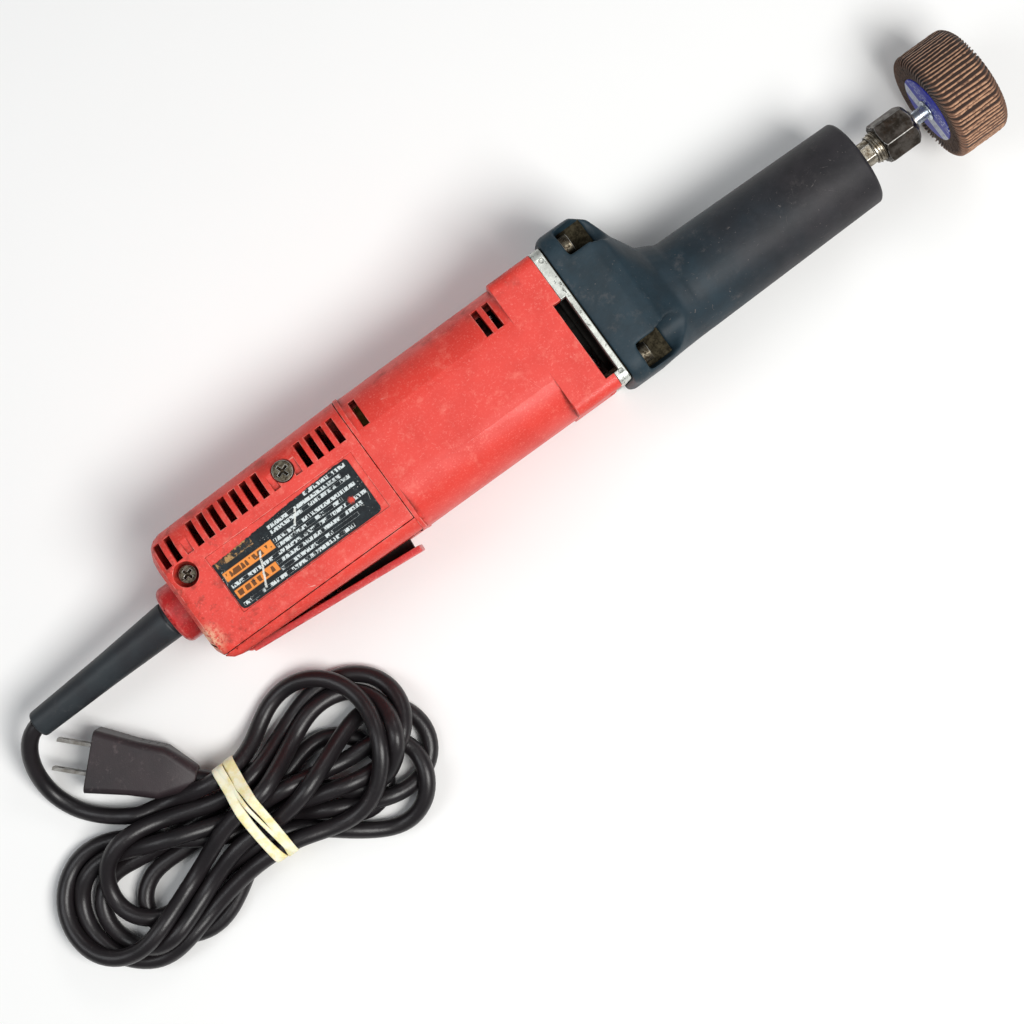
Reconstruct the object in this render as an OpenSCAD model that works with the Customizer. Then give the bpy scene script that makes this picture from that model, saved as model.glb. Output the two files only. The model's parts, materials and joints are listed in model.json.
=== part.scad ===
// Corded geared die grinder lying on its side, with a flap wheel in its collet.
// +X runs along the spindle towards the wheel and +Z is up. The origin is on the resting side,
// below the motor axis, in line with the joint between the rear cover and the motor housing.

/* [Motor housing] */
// Height of the motor axis above the resting side
axis_h = 35; // [35:0.5:36]
// Length of the rear handle, from its end to the cover joint
rear_l = 99.5; // [99:0.5:100]
// Length of the housing in front of the cover joint
front_l = 100.8; // [100.8:0.2:102]
// Half width of the housing at its rear end
rear_hw = 30.6; // [30.6:0.2:31.2]
// Half width of the housing at the cover joint
seam_hw = 32.6; // [32.6:0.2:33.2]
// Half width of the square front flange
flange_hw = 33.2; // [33.2:0.1:33.8]
// Length of the square front flange
flange_l = 21.5; // [20.5:0.5:22]
// Thickness of the plastic walls
wall = 3; // [2.8:0.1:3.2]
// Radius of the motor bore
motor_r = 28.2; // [28.1:0.1:28.4]

/* [Gear case and nose] */
// Distance from the motor axis to the spindle axis
gear_offset = 14; // [14]
// Thickness of the bearing plate
plate_t = 4.9; // [4.8:0.1:5]
// Radius of the gear case nose under the rubber boot
nose_r = 17.5; // [17:0.25:17.75]
// Place of the front end of the rubber boot
nose_x = 240; // [239:1:242]
// Radius of the boot where the handle begins
grip_r = 21.65; // [21:0.05:22]
// Radius of the boot at its front end
grip_tip_r = 20; // [19.5:0.25:20.5]

/* [Gears] */
// Gear module
gear_m = 0.8; // [0.8]
// Teeth on the armature pinion
pinion_n = 15; // [15]
// Teeth on the spindle gear
wheel_n = 20; // [20]
// Pressure angle of the teeth
press_a = 20; // [20]
// Side clearance taken off each tooth flank
flank_gap = 0.08; // [0.06:0.01:0.1]

/* [Collet and flap wheel] */
// Radius of the wheel shank
shank_r = 3.175; // [3.175]
// Width of the collet nut across its flats
nut_af = 17.46; // [17:0.01:18]
// Radius of the spindle thread
thread_r = 7; // [7]
// Radius of the flap wheel
flap_r = 25.4; // [24:0.1:26]
// Width of the flap wheel
flap_w = 25.4; // [24:0.1:26]

/* [Paddle] */
// Angle from released to pressed
paddle_a = 5; // [4:0.5:5]
// Height of the paddle along its hinge
paddle_w = 28.8; // [26:0.2:29]
// Distance from the hinge to the tip
paddle_l = 82; // [78:1:82]

/* [Cord] */
// Diameter of the cord
cord_d = 7.6; // [7:0.1:8]
// Height of the tied hank
hank_h = 28; // [26:1:30]

/* [Hidden] */
$fn = 48;
eps = 0.01;

red = "indianred";
dark_red = "firebrick";
rubber = "darkslategray";
steel = "silver";
copper = "peru";

rear_x = -rear_l;
flange_x = front_l - flange_l;
spindle_y = -gear_offset;
plate_x = front_l + plate_t;
top_z = 2 * axis_h;
case_x = 114.4;
case_end = nose_x - 2;
screw_y = 27.5;
screw_z = 28.5;
pocket_r = 7.5;

// cover parting faces
cover_z = 40;
cover_y = -27;
cover_gap = 0.25;
chamber_x0 = rear_x + wall;
chamber_x1 = -12;
seam_x = -0.5;

// cooling slots in the cover: one pitch apart, some moulded blind
slot_w = 3;
slot_pitch = 5.52;
slot_x0 = rear_x + 3.8;
slot_y = [15.5, 26.8];
slot_rows = 17;
blind_slots = [2, 10, 11, 12];

// intake slots in the housing, in front of the cover joint
front_slots = [4.5, 67.4, 72.9];

// cover screws [x, y, head radius, hole radius, head depth under the cover face]
cover_screw_a = [rear_x + 9.3, 9.3, 3.85, 5.35, 7];
cover_screw_b = [-33.2, 20.5, 4.5, 4.9, 2.6];

// exhaust windows, on the resting side and its opposite
window_y = [-27, 10];

// label recess on the cover
label = [-79.5, -16.7, 70.5, 26.4];
label_t = 0.3;
recess_t = 0.6;

// paddle hinge, with the pressed paddle flush with the housing side
hinge = [-88, -29, axis_h];
recess_y = -29.5;
paddle_y = recess_y - 0.3;
paddle_t = 3;
pad_x = [-44.4, -33.6, -8.8];
pad_y = [-26.5, -25];
pad_hz = 4.5;
plunger_x = -50;
plunger_arm = plunger_x - hinge[0];
plunger_y0 = paddle_y - plunger_arm * tan(paddle_a) + 0.3;
switch_y = -26.2;

// motor stations along X
comm_x = [2, 18];
core_x = [34, 70];
fan_x = [81.8, 93.8];
armature_r = 18;
shaft_r = 5;
rear_bearing_x = -9;
front_bearing_x = 95.8;
pinion_x = [113, 125];
spindle_bearing_x = 103;
nose_bearing_x = 223;

// spindle nose
flat_x = 240.5;
thread_x = 248;
spindle_end = 261;
nut_x = [252, 268.6];
collet_x = [246, 270];
wheel_x = 277.5;

// cord clamp inside the rear end, and the end of the cord there
clamp_x = rear_x + 13.8;
clamp_l = 7.6;
cord_end = clamp_x + clamp_l + 0.5;

// cord route from the strain relief to the hank, lying on the surface
cord_r = cord_d / 2;
relief_tilt = [0, 8, 2];
relief_tip = 76;
relief_x = -108;
collar_x = -110.6;
lead_route = [
    [-186.5, -2.8, 24], [-191.2, -4.4, 22.6], [-195.6, -7.8, 20], [-199.2, -12.6, 16.5],
    [-201.8, -18.4, 12.2], [-203, -24.6, 8.4], [-202.8, -30.8, 5.8], [-201, -37, 4.6],
    [-198, -42.8, 4.2], [-193.2, -48.4, 5.4], [-187.3, -53.4, 7.6], [-181, -57.6, 10],
    [-174.5, -61.2, 12]
];
plug_at = [-146.5, -61.7, 10];
plug_a = 134.5;
plug_l = 47;
tail_route = [[-146.5, -61.7, 10], [-142.8, -65.3, 10], [-139, -68.8, 10]];

// plan of the tied hank: two lobes and a waist
lobe_a = [-90, -93, 37.5];
lobe_b = [-200, -87.5, 31.5];
waist = [-67.5, -109];
tie_x = [-141, -125];
tie_t = 1.3;

// ---- shared shapes ----

module along_x(x = 0, y = 0, z = axis_h) {
    translate([x, y, z]) rotate([0, 90, 0]) children();
}

module tube_x(r, x0, x1, y = 0, z = axis_h) {
    along_x(x0, y, z) cylinder(r = r, h = x1 - x0);
}

module ring_x(r1, r0, x0, x1, y = 0, z = axis_h) {
    difference() {
        tube_x(r1, x0, x1, y, z);
        tube_x(r0, x0 - 1, x1 + 1, y, z);
    }
}

// rounded rectangle, tall (Z) by wide (Y), drawn for along_x
module rounded(hz, hy, rp, rn) {
    translate([-hz, -hy + rn]) square([2 * hz, 2 * hy - rp - rn]);
    translate([-hz + rp, 0]) square([2 * (hz - rp), hy]);
    translate([-hz + rn, -hy]) square([2 * (hz - rn), hy]);
    for (s = [-1, 1]) {
        translate([s * (hz - rp), hy - rp]) circle(r = rp);
        translate([s * (hz - rn), -hy + rn]) circle(r = rn);
    }
}

module slab(x, t, hz, hy, rp, rn, y = 0) {
    along_x(x, y) linear_extrude(t) rounded(hz, hy, rp, rn, $fn = 32);
}

module box3(a, b) {
    translate(a) cube([b[0] - a[0], b[1] - a[1], b[2] - a[2]]);
}

// points of a cross-section ring that follows a route
function unit(v) = v / norm(v);
function heading(p, i) = unit(p[min(i + 1, len(p) - 1)] - p[max(i - 1, 0)]);
function side_of(t) = unit(cross(abs(t[2]) > 0.9 ? [1, 0, 0] : [0, 0, 1], t));
function ring(c, t, r, n) = [
    for (k = [0:n - 1])
        c + r * (cos(360 * k / n) * side_of(t) + sin(360 * k / n) * cross(t, side_of(t)))
];
function rings(p, r, n) = [for (i = [0:len(p) - 1]) each ring(p[i], heading(p, i), r, n)];
function skin(m, n) = [
    for (i = [0:m - 2], k = [0:n - 1])
        let (a = i * n + k, b = i * n + (k + 1) % n) [a, b, b + n, a + n]
];

module sweep(p, r, n = 8) {
    last = (len(p) - 1) * n;
    polyhedron(
        points = rings(p, r, n),
        faces = concat(
            [[for (k = [n - 1:-1:0]) k]],
            skin(len(p), n),
            [[for (k = [0:n - 1]) last + k]]
        ),
        convexity = 6
    );
}

// involute gear outline with thinned teeth
function inv(a) = tan(a) * 180 / PI - a;
function flank_a(rb, r) = let (a = acos(min(1, rb / r))) inv(a);
function gear_pts(n, ro, rr) =
    let (
        rp = gear_m * n / 2,
        rb = rp * cos(press_a),
        half = 90 / n - flank_gap / rp * 180 / PI,
        at = half + inv(press_a),
        r0 = max(rb, rr),
        steps = 4,
        up = [for (s = [0:steps]) let (r = r0 + (ro - r0) * s / steps) [r, at - flank_a(rb, r)]],
        side = concat([[rr, at]], up)
    )
    [for (k = [0:n - 1], e = concat(
        [for (q = side) [q[0], -q[1]]],
        [for (i = [len(side) - 1:-1:0]) side[i]]
    )) let (a = e[1] + 360 * k / n) e[0] * [cos(a), sin(a)]];

module gear(n, h, turn = 0) {
    rp = gear_m * n / 2;
    rotate([0, 0, turn]) linear_extrude(h) polygon(gear_pts(n, rp + gear_m, rp - 1.25 * gear_m));
}

// ball bearing drawn as one ring with a sunken shield on each face
module bearing(ri, ro, x, w, y = 0) {
    along_x(x, y) rotate_extrude() polygon([
        [ri, 0], [ri + 1.4, 0], [ri + 1.4, 0.6], [ro - 1.6, 0.6], [ro - 1.6, 0], [ro, 0],
        [ro, w], [ro - 1.6, w], [ro - 1.6, w - 0.6], [ri + 1.4, w - 0.6], [ri + 1.4, w], [ri, w]
    ]);
}

// screw along +X whose head is at the far end
module screw_x(x0, x1, y, z, r, head_r, head_t) {
    difference() {
        union() {
            tube_x(r, x0, x1, y, z);
            tube_x(head_r, x1, x1 + head_t, y, z);
        }
        for (a = [0, 90])
            translate([x1 + head_t, y, z]) rotate([a, 0, 0]) cube([3.2, 1, head_r * 1.2], center = true);
    }
}

// screw along Z whose head is at the top
module screw_z(p, z0, z1, r, head_r, head_t) {
    difference() {
        union() {
            translate([p[0], p[1], z0]) cylinder(r = r, h = z1 - z0);
            translate([p[0], p[1], z1]) cylinder(r = head_r, h = head_t);
        }
        for (a = [20, 110])
            translate([p[0], p[1], z1 + head_t]) rotate([0, 0, a]) cube([head_r * 1.2, 1, 3], center = true);
    }
}

// ---- motor housing and rear cover ----

module handle_outer() {
    hull() {
        slab(rear_x, 0.5, axis_h - 5, rear_hw - 6.5, 12, 6);
        slab(rear_x + 2, 0.5, axis_h - 1.6, rear_hw - 2.9, 14, 7);
        slab(rear_x + 4.5, 0.5, axis_h - 0.4, rear_hw - 0.9, 15, 8);
        slab(rear_x + 8, 0.5, axis_h, rear_hw, 15, 8);
        slab(seam_x, 0.5, axis_h, seam_hw, 16, 9);
    }
}

module tube_outer() {
    hull() {
        slab(seam_x, 0.5, axis_h, seam_hw, 22, 22);
        slab(flange_x, 0.5, axis_h, flange_hw - 0.4, 22, 22);
    }
}

module chamber() {
    along_x(chamber_x0) linear_extrude(chamber_x1 - chamber_x0)
        rounded(axis_h - wall, rear_hw - wall - 0.5, 12, 6);
}

// space taken by the rear cover and its clearance
module cover_zone(gap = 0) {
    box3(
        [rear_x - 1, cover_y + gap, cover_z + gap],
        [seam_x - gap, seam_hw + 2, top_z + 1]
    );
}

module cover_slots(y0, y1, blind) {
    for (i = [0:slot_rows - 1]) {
        is_blind = len(search(i, blind_slots)) > 0;
        if (is_blind == blind && i != 11)
            translate([slot_x0 + slot_pitch * i, y0, blind ? top_z - 7 : cover_z + 12])
                cube([slot_w, y1 - y0, 30]);
    }
}

module exhaust_windows(x0, x1) {
    box3([x0, window_y[0], -1], [x1, window_y[1], top_z + 1]);
    box3([x0, -flange_hw - 1, axis_h - 15], [x1, flange_hw + 1, axis_h + 15]);
}

module screw_posts(z0, z1, r) {
    for (s = [cover_screw_a, cover_screw_b])
        translate([s[0], s[1], z0]) cylinder(r = r, h = z1 - z0);
}

module paddle_recess() {
    box3([hinge[0] - 3.4, -40, axis_h - 15], [-3, recess_y, axis_h + 15]);
    translate([hinge[0], hinge[1], axis_h - 15]) cylinder(r = 3.4, h = 30);
}

module motor_housing() {
    color(red) difference() {
        union() {
            difference() {
                handle_outer();
                cover_zone();
                chamber();
            }
            difference() {
                union() {
                    tube_outer();
                    slab(flange_x, flange_l, axis_h, flange_hw, 5, 5);
                    slab(seam_x, 2, axis_h, seam_hw + 0.2, 15, 9);
                }
                tube_x(motor_r, -2, front_l + 1);
                exhaust_windows(front_l - 4, front_l + 1);
            }
            box3([hinge[0] - 6, recess_y, axis_h - 18], [-8, cover_y, axis_h + 18]);
            intersection() {
                handle_outer();
                translate([hinge[0], hinge[1] + 1, axis_h - 18]) cylinder(r = 6.4, h = 36);
            }
            screw_posts(wall - 0.5, 46, 4.2);
            box3([-70, -24, 2], [-30, -4, 21.8]);
            box3([clamp_x - 0.2, -9, 2], [clamp_x + clamp_l + 0.2, 9, axis_h - 4.2]);
            box3([comm_x[0] + 1, -29, axis_h - 7], [comm_x[0] + 13, -27, axis_h + 7]);
        }
        // rear bearing seat, cord entry, hinge pin, windows for the plunger and pad, screw holes
        tube_x(11, rear_bearing_x - 1, 0);
        tube_x(7, chamber_x1 - 1, 0);
        tube_x(8, rear_x - 1, rear_x + wall + 2);
        paddle_recess();
        translate([hinge[0], hinge[1], axis_h - 20]) cylinder(r = 1.5, h = 40);
        translate([plunger_x, switch_y + 5, axis_h]) rotate([90, 0, 0]) cylinder(r = 3.6, h = 12);
        box3(
            [pad_x[0] - 0.6, recess_y - 1, axis_h - pad_hz - 0.5],
            [pad_x[2] + 0.7, pad_y[1] + 0.4, axis_h + pad_hz + 0.5]
        );
        for (s = [cover_screw_a, cover_screw_b])
            translate([s[0], s[1], 20]) cylinder(r = 1.5, h = 40);
        for (sy = [-1, 1], sz = [-1, 1])
            tube_x(2.5, 84, front_l + 1, sy * screw_y, axis_h + sz * screw_z);
        // intake slots through the upper and lower corners
        for (x = front_slots, side = [-1, 1])
            box3(
                [x, slot_y[0], side > 0 ? axis_h + 12 : -1],
                [x + slot_w, slot_y[1] + 1, side > 0 ? top_z + 1 : axis_h - 12]
            );
        // wire passages through the bulkhead
        for (y = [-20, 20])
            tube_x(3, chamber_x1 - 1, 0, y);
    }
}

module rear_cover() {
    color(red) difference() {
        union() {
            intersection() {
                difference() {
                    handle_outer();
                    chamber();
                }
                cover_zone(cover_gap);
            }
            intersection() {
                handle_outer();
                screw_posts(46.2, top_z, 6);
                cover_zone(cover_gap);
            }
        }
        tube_x(8, rear_x - 1, rear_x + wall + 2);
        tube_x(11, rear_bearing_x - 1, 0);
        tube_x(7, chamber_x1 - 1, 0);
        cover_slots(slot_y[0], slot_y[1], false);
        translate([0, 0, 5.6]) cover_slots(slot_y[0], slot_y[1], true);
        for (s = [cover_screw_a, cover_screw_b]) {
            translate([s[0], s[1], 0]) cylinder(r = 1.9, h = top_z);
            translate([s[0], s[1], top_z - s[4]]) cylinder(r = s[3], h = 20);
        }
        box3(
            [label[0] - 0.5, label[1] - 0.5, top_z - recess_t],
            [label[0] + label[2] + 3, label[1] + label[3] + 0.5, top_z + 1]
        );
    }
}

module cover_screws() {
    color(steel) for (s = [cover_screw_a, cover_screw_b])
        screw_z(s, 30, top_z - s[4] + eps, 1.5, s[2], 2.3);
}

module rating_label() {
    color("black") translate([label[0], label[1], top_z - recess_t])
        cube([label[2], label[3], label_t]);
}

// ---- cord entry, switch and leads ----

module relief_frame() {
    translate([relief_x, 0, axis_h]) rotate([0, 0, relief_tilt[2]]) rotate([0, -relief_tilt[1], 0])
        children();
}

module cord_collar() {
    l = rear_x - collar_x;
    color(dark_red) along_x(collar_x) rotate_extrude() polygon([
        [9.4, 0], [11.8, 0], [13.4, 1.8], [13.4, l], [7.9, l], [7.9, 6.2], [9.4, 4.5]
    ]);
}

module strain_relief() {
    color(rubber) relief_frame() rotate([0, -90, 0]) rotate_extrude() polygon([
        [3.9, -8], [6.6, -8], [6.6, -1.5], [7.6, -1], [7.6, 3], [8.6, 3.7], [7.1, 40],
        [6.2, relief_tip + 2.4], [5.6, relief_tip + 3], [3.9, relief_tip + 3]
    ]);
}

module cord_clamp() {
    color("dimgray") difference() {
        box3([clamp_x, -9, axis_h - 4], [clamp_x + clamp_l, 9, axis_h + 7]);
        tube_x(cord_r, clamp_x - 1, clamp_x + clamp_l + 1);
        for (y = [-6.6, 6.6])
            translate([clamp_x + clamp_l / 2, y, 20]) cylinder(r = 1.3, h = 30);
    }
}

module clamp_screws() {
    color(steel) for (y = [-6.6, 6.6])
        screw_z([clamp_x + clamp_l / 2, y], axis_h - 4, axis_h + 7, 1.3, 2.2, 1.6);
}

module supply_cord() {
    color(rubber) tube_x(cord_r, relief_x + 8.3, cord_end);
}

module supply_leads() {
    color("black") for (s = [-1, 1])
        sweep([
            [cord_end + 0.2, s * 2, axis_h], [cord_end + 2, s * 2, axis_h],
            [-72, s * 3 - 6, axis_h + 3], [-69, s * 3 - 11.5, axis_h + 5],
            [-67.5, s * 3 - 13, axis_h + 5], [-66.2, s * 3 - 13, axis_h + 5]
        ], 1.4, 8);
}

module switch_body() {
    color("slategray") difference() {
        union() {
            box3([-66, switch_y, 22], [-34, -6, 48]);
            box3([-62, -6, 30], [-58, -2, 33]);
            box3([-44, -6, 30], [-40, -2, 33]);
        }
        translate([plunger_x, -12, axis_h]) rotate([90, 0, 0]) cylinder(r = 3.05, h = 20);
        box3([-67, -20, 46], [-33, -18, 49]);
    }
}

// middles of the two brush leads, one above the other behind the switch
lead_bend_a = [[-40, 4.5, 32], [-36, 6.5, 32.5], [-30, 8, 33], [-24, 12, 33.5], [-19, 17.5, 34.5]];
lead_bend_b = [
    [-58, 4.5, 30], [-53, 6.5, 27.5], [-42, 6.5, 26.5], [-34, 3.5, 27], [-28, -3, 29],
    [-23, -11, 31.5], [-19, -17.5, 34]
];

module brush_leads() {
    color("black") for (s = [-1, 1])
        sweep([
            [s > 0 ? -42 : -60, -2, 31.5], [s > 0 ? -42 : -60, 1, 31.5],
            each s > 0 ? lead_bend_a : lead_bend_b,
            [-14, s * 20, 35], [-4, s * 20, 35], [1, s * 20.5, 35], [3.4, s * 21, 35]
        ], 1.3, 8);
}

// ---- motor ----

module brush_holders() {
    color("goldenrod") for (s = [-1, 1]) mirror([0, s < 0 ? 1 : 0, 0]) difference() {
        box3([comm_x[0] + 2, 13.5, axis_h - 5], [comm_x[0] + 12, 27, axis_h + 5]);
        box3([comm_x[0] + 3.5, 13, axis_h - 3.2], [comm_x[0] + 10.5, 25.8, axis_h + 3.2]);
    }
}

module carbon_brushes() {
    color("dimgray") for (s = [-1, 1]) mirror([0, s < 0 ? 1 : 0, 0]) difference() {
        box3([comm_x[0] + 3.6, 10, axis_h - 3.1], [comm_x[0] + 10.4, 20, axis_h + 3.1]);
        tube_x(11.6, comm_x[0], comm_x[1]);
    }
}

module brush_springs() {
    turns = 4;
    n = 12;
    color(steel) for (s = [-1, 1])
        sweep([
            for (i = [0:turns * n])
                [
                    comm_x[0] + 7 + 2 * cos(360 * i / n),
                    s * (20.4 + 5 * i / (turns * n)),
                    axis_h + 2 * sin(360 * i / n)
                ]
        ], 0.3, 6);
}

module rear_bearing() {
    color(steel) bearing(3.53, 9.5, rear_bearing_x, 6);
}

module bearing_sleeve() {
    color("black") ring_x(11, 9.5, rear_bearing_x, rear_bearing_x + 6);
}

module field_core() {
    color("gray") difference() {
        tube_x(28, core_x[0], core_x[1]);
        tube_x(armature_r + 0.6, core_x[0] - 1, core_x[1] + 1);
        for (s = [-1, 1])
            along_x(core_x[0] - 1) rotate([0, 0, 50 + (s > 0 ? 0 : 180)])
                rotate_extrude(angle = 80) translate([armature_r, 0]) square([5.4, 38]);
    }
}

module field_coils() {
    for (s = [0, 180])
        color(copper) difference() {
            along_x(core_x[0] - 7) rotate([0, 0, 92 + s]) rotate_extrude(angle = 176)
                translate([armature_r + 1.2, 0]) square([3.9, core_x[1] - core_x[0] + 14]);
            along_x(core_x[0] - 0.3) rotate([0, 0, 129 + s]) rotate_extrude(angle = 102)
                translate([armature_r - 1, 0]) square([9, core_x[1] - core_x[0] + 0.6]);
        }
}

module fan_baffle() {
    color("black") ring_x(28, 20, fan_x[0] - 4, fan_x[0] - 2);
}

module armature_shaft() {
    color(steel) {
        tube_x(3.5, rear_bearing_x - 0.5, 0);
        tube_x(shaft_r, 0, front_bearing_x - 0.2);
        tube_x(4, front_bearing_x - 0.2, pinion_x[0] - 1.6);
        tube_x(3.5, pinion_x[0] - 1.6, pinion_x[1] + 1);
    }
}

module commutator() {
    bars = 24;
    color(copper) difference() {
        tube_x(11.3, comm_x[0], comm_x[1]);
        tube_x(shaft_r, comm_x[0] - 1, comm_x[1] + 1);
        for (k = [0:bars - 1])
            along_x(comm_x[0] - 1) rotate([0, 0, 360 * k / bars])
                translate([10.5, -0.25, 0]) cube([2, 0.5, 20]);
    }
}

module armature_slots(n, w, r0, r1, x0, x1) {
    for (k = [0:n - 1])
        along_x(x0) rotate([0, 0, 360 * k / n]) translate([r0, -w / 2, 0]) cube([r1 - r0, w, x1 - x0]);
}

module armature_core() {
    color("gray") difference() {
        tube_x(armature_r, core_x[0], core_x[1]);
        tube_x(shaft_r, core_x[0] - 1, core_x[1] + 1);
        armature_slots(12, 3, 11, 19, core_x[0] - 1, core_x[1] + 1);
    }
}

module armature_winding() {
    color(copper) difference() {
        union() {
            along_x(comm_x[1] + 1) rotate_extrude() polygon([
                [6, 0], [10, 0], [15, 5], [16.5, 9], [16.5, 14.8], [6, 14.8]
            ]);
            along_x(core_x[1] + 0.2) rotate_extrude() polygon([
                [6, 0], [16.5, 0], [16.5, 5], [14, 8.5], [6, 8.5]
            ]);
            armature_slots(12, 2.8, 11.1, 16.4, core_x[0] - 0.5, core_x[1] + 0.5);
        }
        tube_x(shaft_r, comm_x[1], core_x[1] + 12);
    }
}

module cooling_fan() {
    blades = 11;
    color("dimgray") difference() {
        union() {
            ring_x(24.8, 7, fan_x[0], fan_x[0] + 1.6);
            ring_x(8, shaft_r, fan_x[0], fan_x[1]);
            for (k = [0:blades - 1])
                along_x(fan_x[0] + 1) rotate([0, 0, 360 * k / blades]) translate([7.5, 0, 0])
                    rotate([0, 0, 12]) cube([16.5, 1.2, 10]);
        }
        tube_x(shaft_r, fan_x[0] - 1, fan_x[1] + 1);
    }
}

module pinion() {
    color(steel) difference() {
        along_x(pinion_x[0]) gear(pinion_n, pinion_x[1] - pinion_x[0], 90);
        tube_x(3.5, pinion_x[0] - 1, pinion_x[1] + 1);
    }
}

// ---- bearing plate, gear case and boot ----

module corner_holes(r, x0, x1) {
    for (sy = [-1, 1], sz = [-1, 1])
        tube_x(r, x0, x1, sy * screw_y, axis_h + sz * screw_z);
}

module bearing_plate() {
    color("lightgray") difference() {
        union() {
            slab(front_l, plate_t, axis_h, flange_hw - 0.2, 4, 4);
            tube_x(14, front_bearing_x - 0.3, front_l);
            tube_x(9.8, plate_x, spindle_bearing_x + 6, spindle_y);
        }
        tube_x(11, front_bearing_x, front_bearing_x + 7);
        tube_x(6, front_bearing_x - 1, spindle_bearing_x + 10);
        tube_x(8.5, spindle_bearing_x, spindle_bearing_x + 10, spindle_y);
        corner_holes(2.5, front_l - 1, plate_x + 1);
        exhaust_windows_plate();
        for (y = [-27.8, 27.8])
            translate([front_l + 2.9, y, top_z - 0.6]) cylinder(r = 1, h = 2);
    }
}

module exhaust_windows_plate() {
    for (z = [-1, top_z - 18])
        box3([front_l - 1, window_y[0], z], [front_l + 2.4, window_y[1], z + 19]);
    for (s = [-1, 1])
        box3(
            [front_l - 1, s > 0 ? flange_hw - 4 : -flange_hw - 1, axis_h - 15],
            [front_l + 2.4, s > 0 ? flange_hw + 1 : -flange_hw + 4, axis_h + 15]
        );
}

module armature_bearing() {
    color(steel) bearing(4.03, 11, front_bearing_x, 7);
}

module case_outer() {
    slab(plate_x, case_x - plate_x, axis_h - 2, 32.6, 5, 5);
    for (sy = [-1, 1], sz = [-1, 1])
        translate([case_x - 1, sy * 27 - 7, axis_h + sz * 19.5 - 4]) cube([13.5, 14, 8]);
    tube_x(16, case_x, 128);
    tube_x(nose_r, case_x, case_end, spindle_y);
}

module gear_case() {
    color("darkkhaki") difference() {
        case_outer();
        tube_x(10.6, plate_x - 1, 127, spindle_y);
        tube_x(8.6, plate_x - 1, 127);
        tube_x(7.5, 120, case_end, spindle_y);
        tube_x(14, nose_bearing_x, case_end + 1, spindle_y);
        corner_holes(2.5, plate_x - 1, case_x + 1);
    }
}

module case_screws() {
    color(steel) for (sy = [-1, 1], sz = [-1, 1])
        screw_x(85, case_x, sy * screw_y, axis_h + sz * screw_z, 2.5, 4.25, 4);
}

// stations of the boot: x, centre y, half height, half width, corner radius
boot_stations = [
    [plate_x + 0.3, 0, axis_h - 0.5, 35.4, 9],
    [plate_x + 3, 0, axis_h, 36.8, 10],
    [123.5, 0, axis_h, 36.8, 12],
    [130, -2, 33, 34.2, 15],
    [134.5, -7, 28.5, 29, 20],
    [141, -11.9, 23.9, 23.9, 23.4],
    [150, spindle_y, grip_r, grip_r, grip_r - 0.2],
    [nose_x - 1.2, spindle_y, grip_tip_r, grip_tip_r, grip_tip_r - 0.2]
];

module boot_outer() {
    for (i = [0:len(boot_stations) - 3])
        hull() for (j = [0, 1]) {
            s = boot_stations[i + j];
            slab(s[0] - 0.05, 0.1, s[2], s[3], s[4], s[4], s[1]);
        }
    along_x(150, spindle_y) rotate_extrude() polygon([
        [0, -0.05], [grip_r, -0.05], [grip_tip_r, nose_x - 151.2],
        [grip_tip_r - 1.2, nose_x - 150], [0, nose_x - 150]
    ]);
}

module boot() {
    color(rubber) difference() {
        boot_outer();
        case_outer();
        tube_x(nose_r - 1, 200, nose_x + 1, spindle_y);
        corner_holes(pocket_r, case_x, 140);
    }
}

module spindle_rear_bearing() {
    color(steel) bearing(3.03, 8.5, spindle_bearing_x, 6, spindle_y);
}

module spindle_front_bearing() {
    color(steel) bearing(6.03, 14, nose_bearing_x, 8, spindle_y);
}

module spindle_seal() {
    color("black") ring_x(14, 6.3, nose_bearing_x + 8.4, case_end, spindle_y);
}

// ---- spindle, collet and flap wheel ----

module spindle_shaft() {
    color("dimgray") difference() {
        union() {
            tube_x(3, spindle_bearing_x, 112, spindle_y);
            tube_x(5, 112, 128.5, spindle_y);
            tube_x(6, 128.5, 232, spindle_y);
            tube_x(5.6, 232, thread_x, spindle_y);
            tube_x(thread_r, thread_x, spindle_end, spindle_y);
        }
        along_x(collet_x[0] - 0.3, spindle_y) cylinder(r1 = 4.2, r2 = 5.6, h = spindle_end - collet_x[0] + 0.31);
        tube_x(3.6, collet_x[0] - 26, spindle_end, spindle_y);
        for (s = [-1, 1])
            translate([(flat_x + thread_x) / 2, spindle_y, axis_h + s * 6.4])
                cube([thread_x - flat_x - 1, 20, 3], center = true);
        box3([115, spindle_y - 1.5, axis_h + 3.6], [123, spindle_y + 1.5, axis_h + 6]);
    }
}

module spindle_gear() {
    color(steel) difference() {
        along_x(pinion_x[0] + 0.5, spindle_y) gear(wheel_n, pinion_x[1] - pinion_x[0] - 1, 90);
        tube_x(5, 110, 130, spindle_y);
        box3([112, spindle_y - 1.5, axis_h], [126, spindle_y + 1.5, axis_h + 6.2]);
    }
}

module gear_key() {
    color(steel) box3([115, spindle_y - 1.5, axis_h + 3.6], [123, spindle_y + 1.5, axis_h + 6.1]);
}

module collet() {
    color("gray") difference() {
        along_x(collet_x[0], spindle_y) rotate_extrude() polygon([
            [shank_r + 0.03, 0], [4.1, 0], [5.5, 15], [5.5, 17.5], [6.3, 17.5], [6.3, 19],
            [5, 22], [5, 24], [shank_r + 0.03, 24]
        ]);
        for (a = [0, 60, 120])
            translate([collet_x[1] - 8, spindle_y, axis_h]) rotate([a, 0, 0]) cube([22, 16, 0.6], center = true);
    }
}

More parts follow.
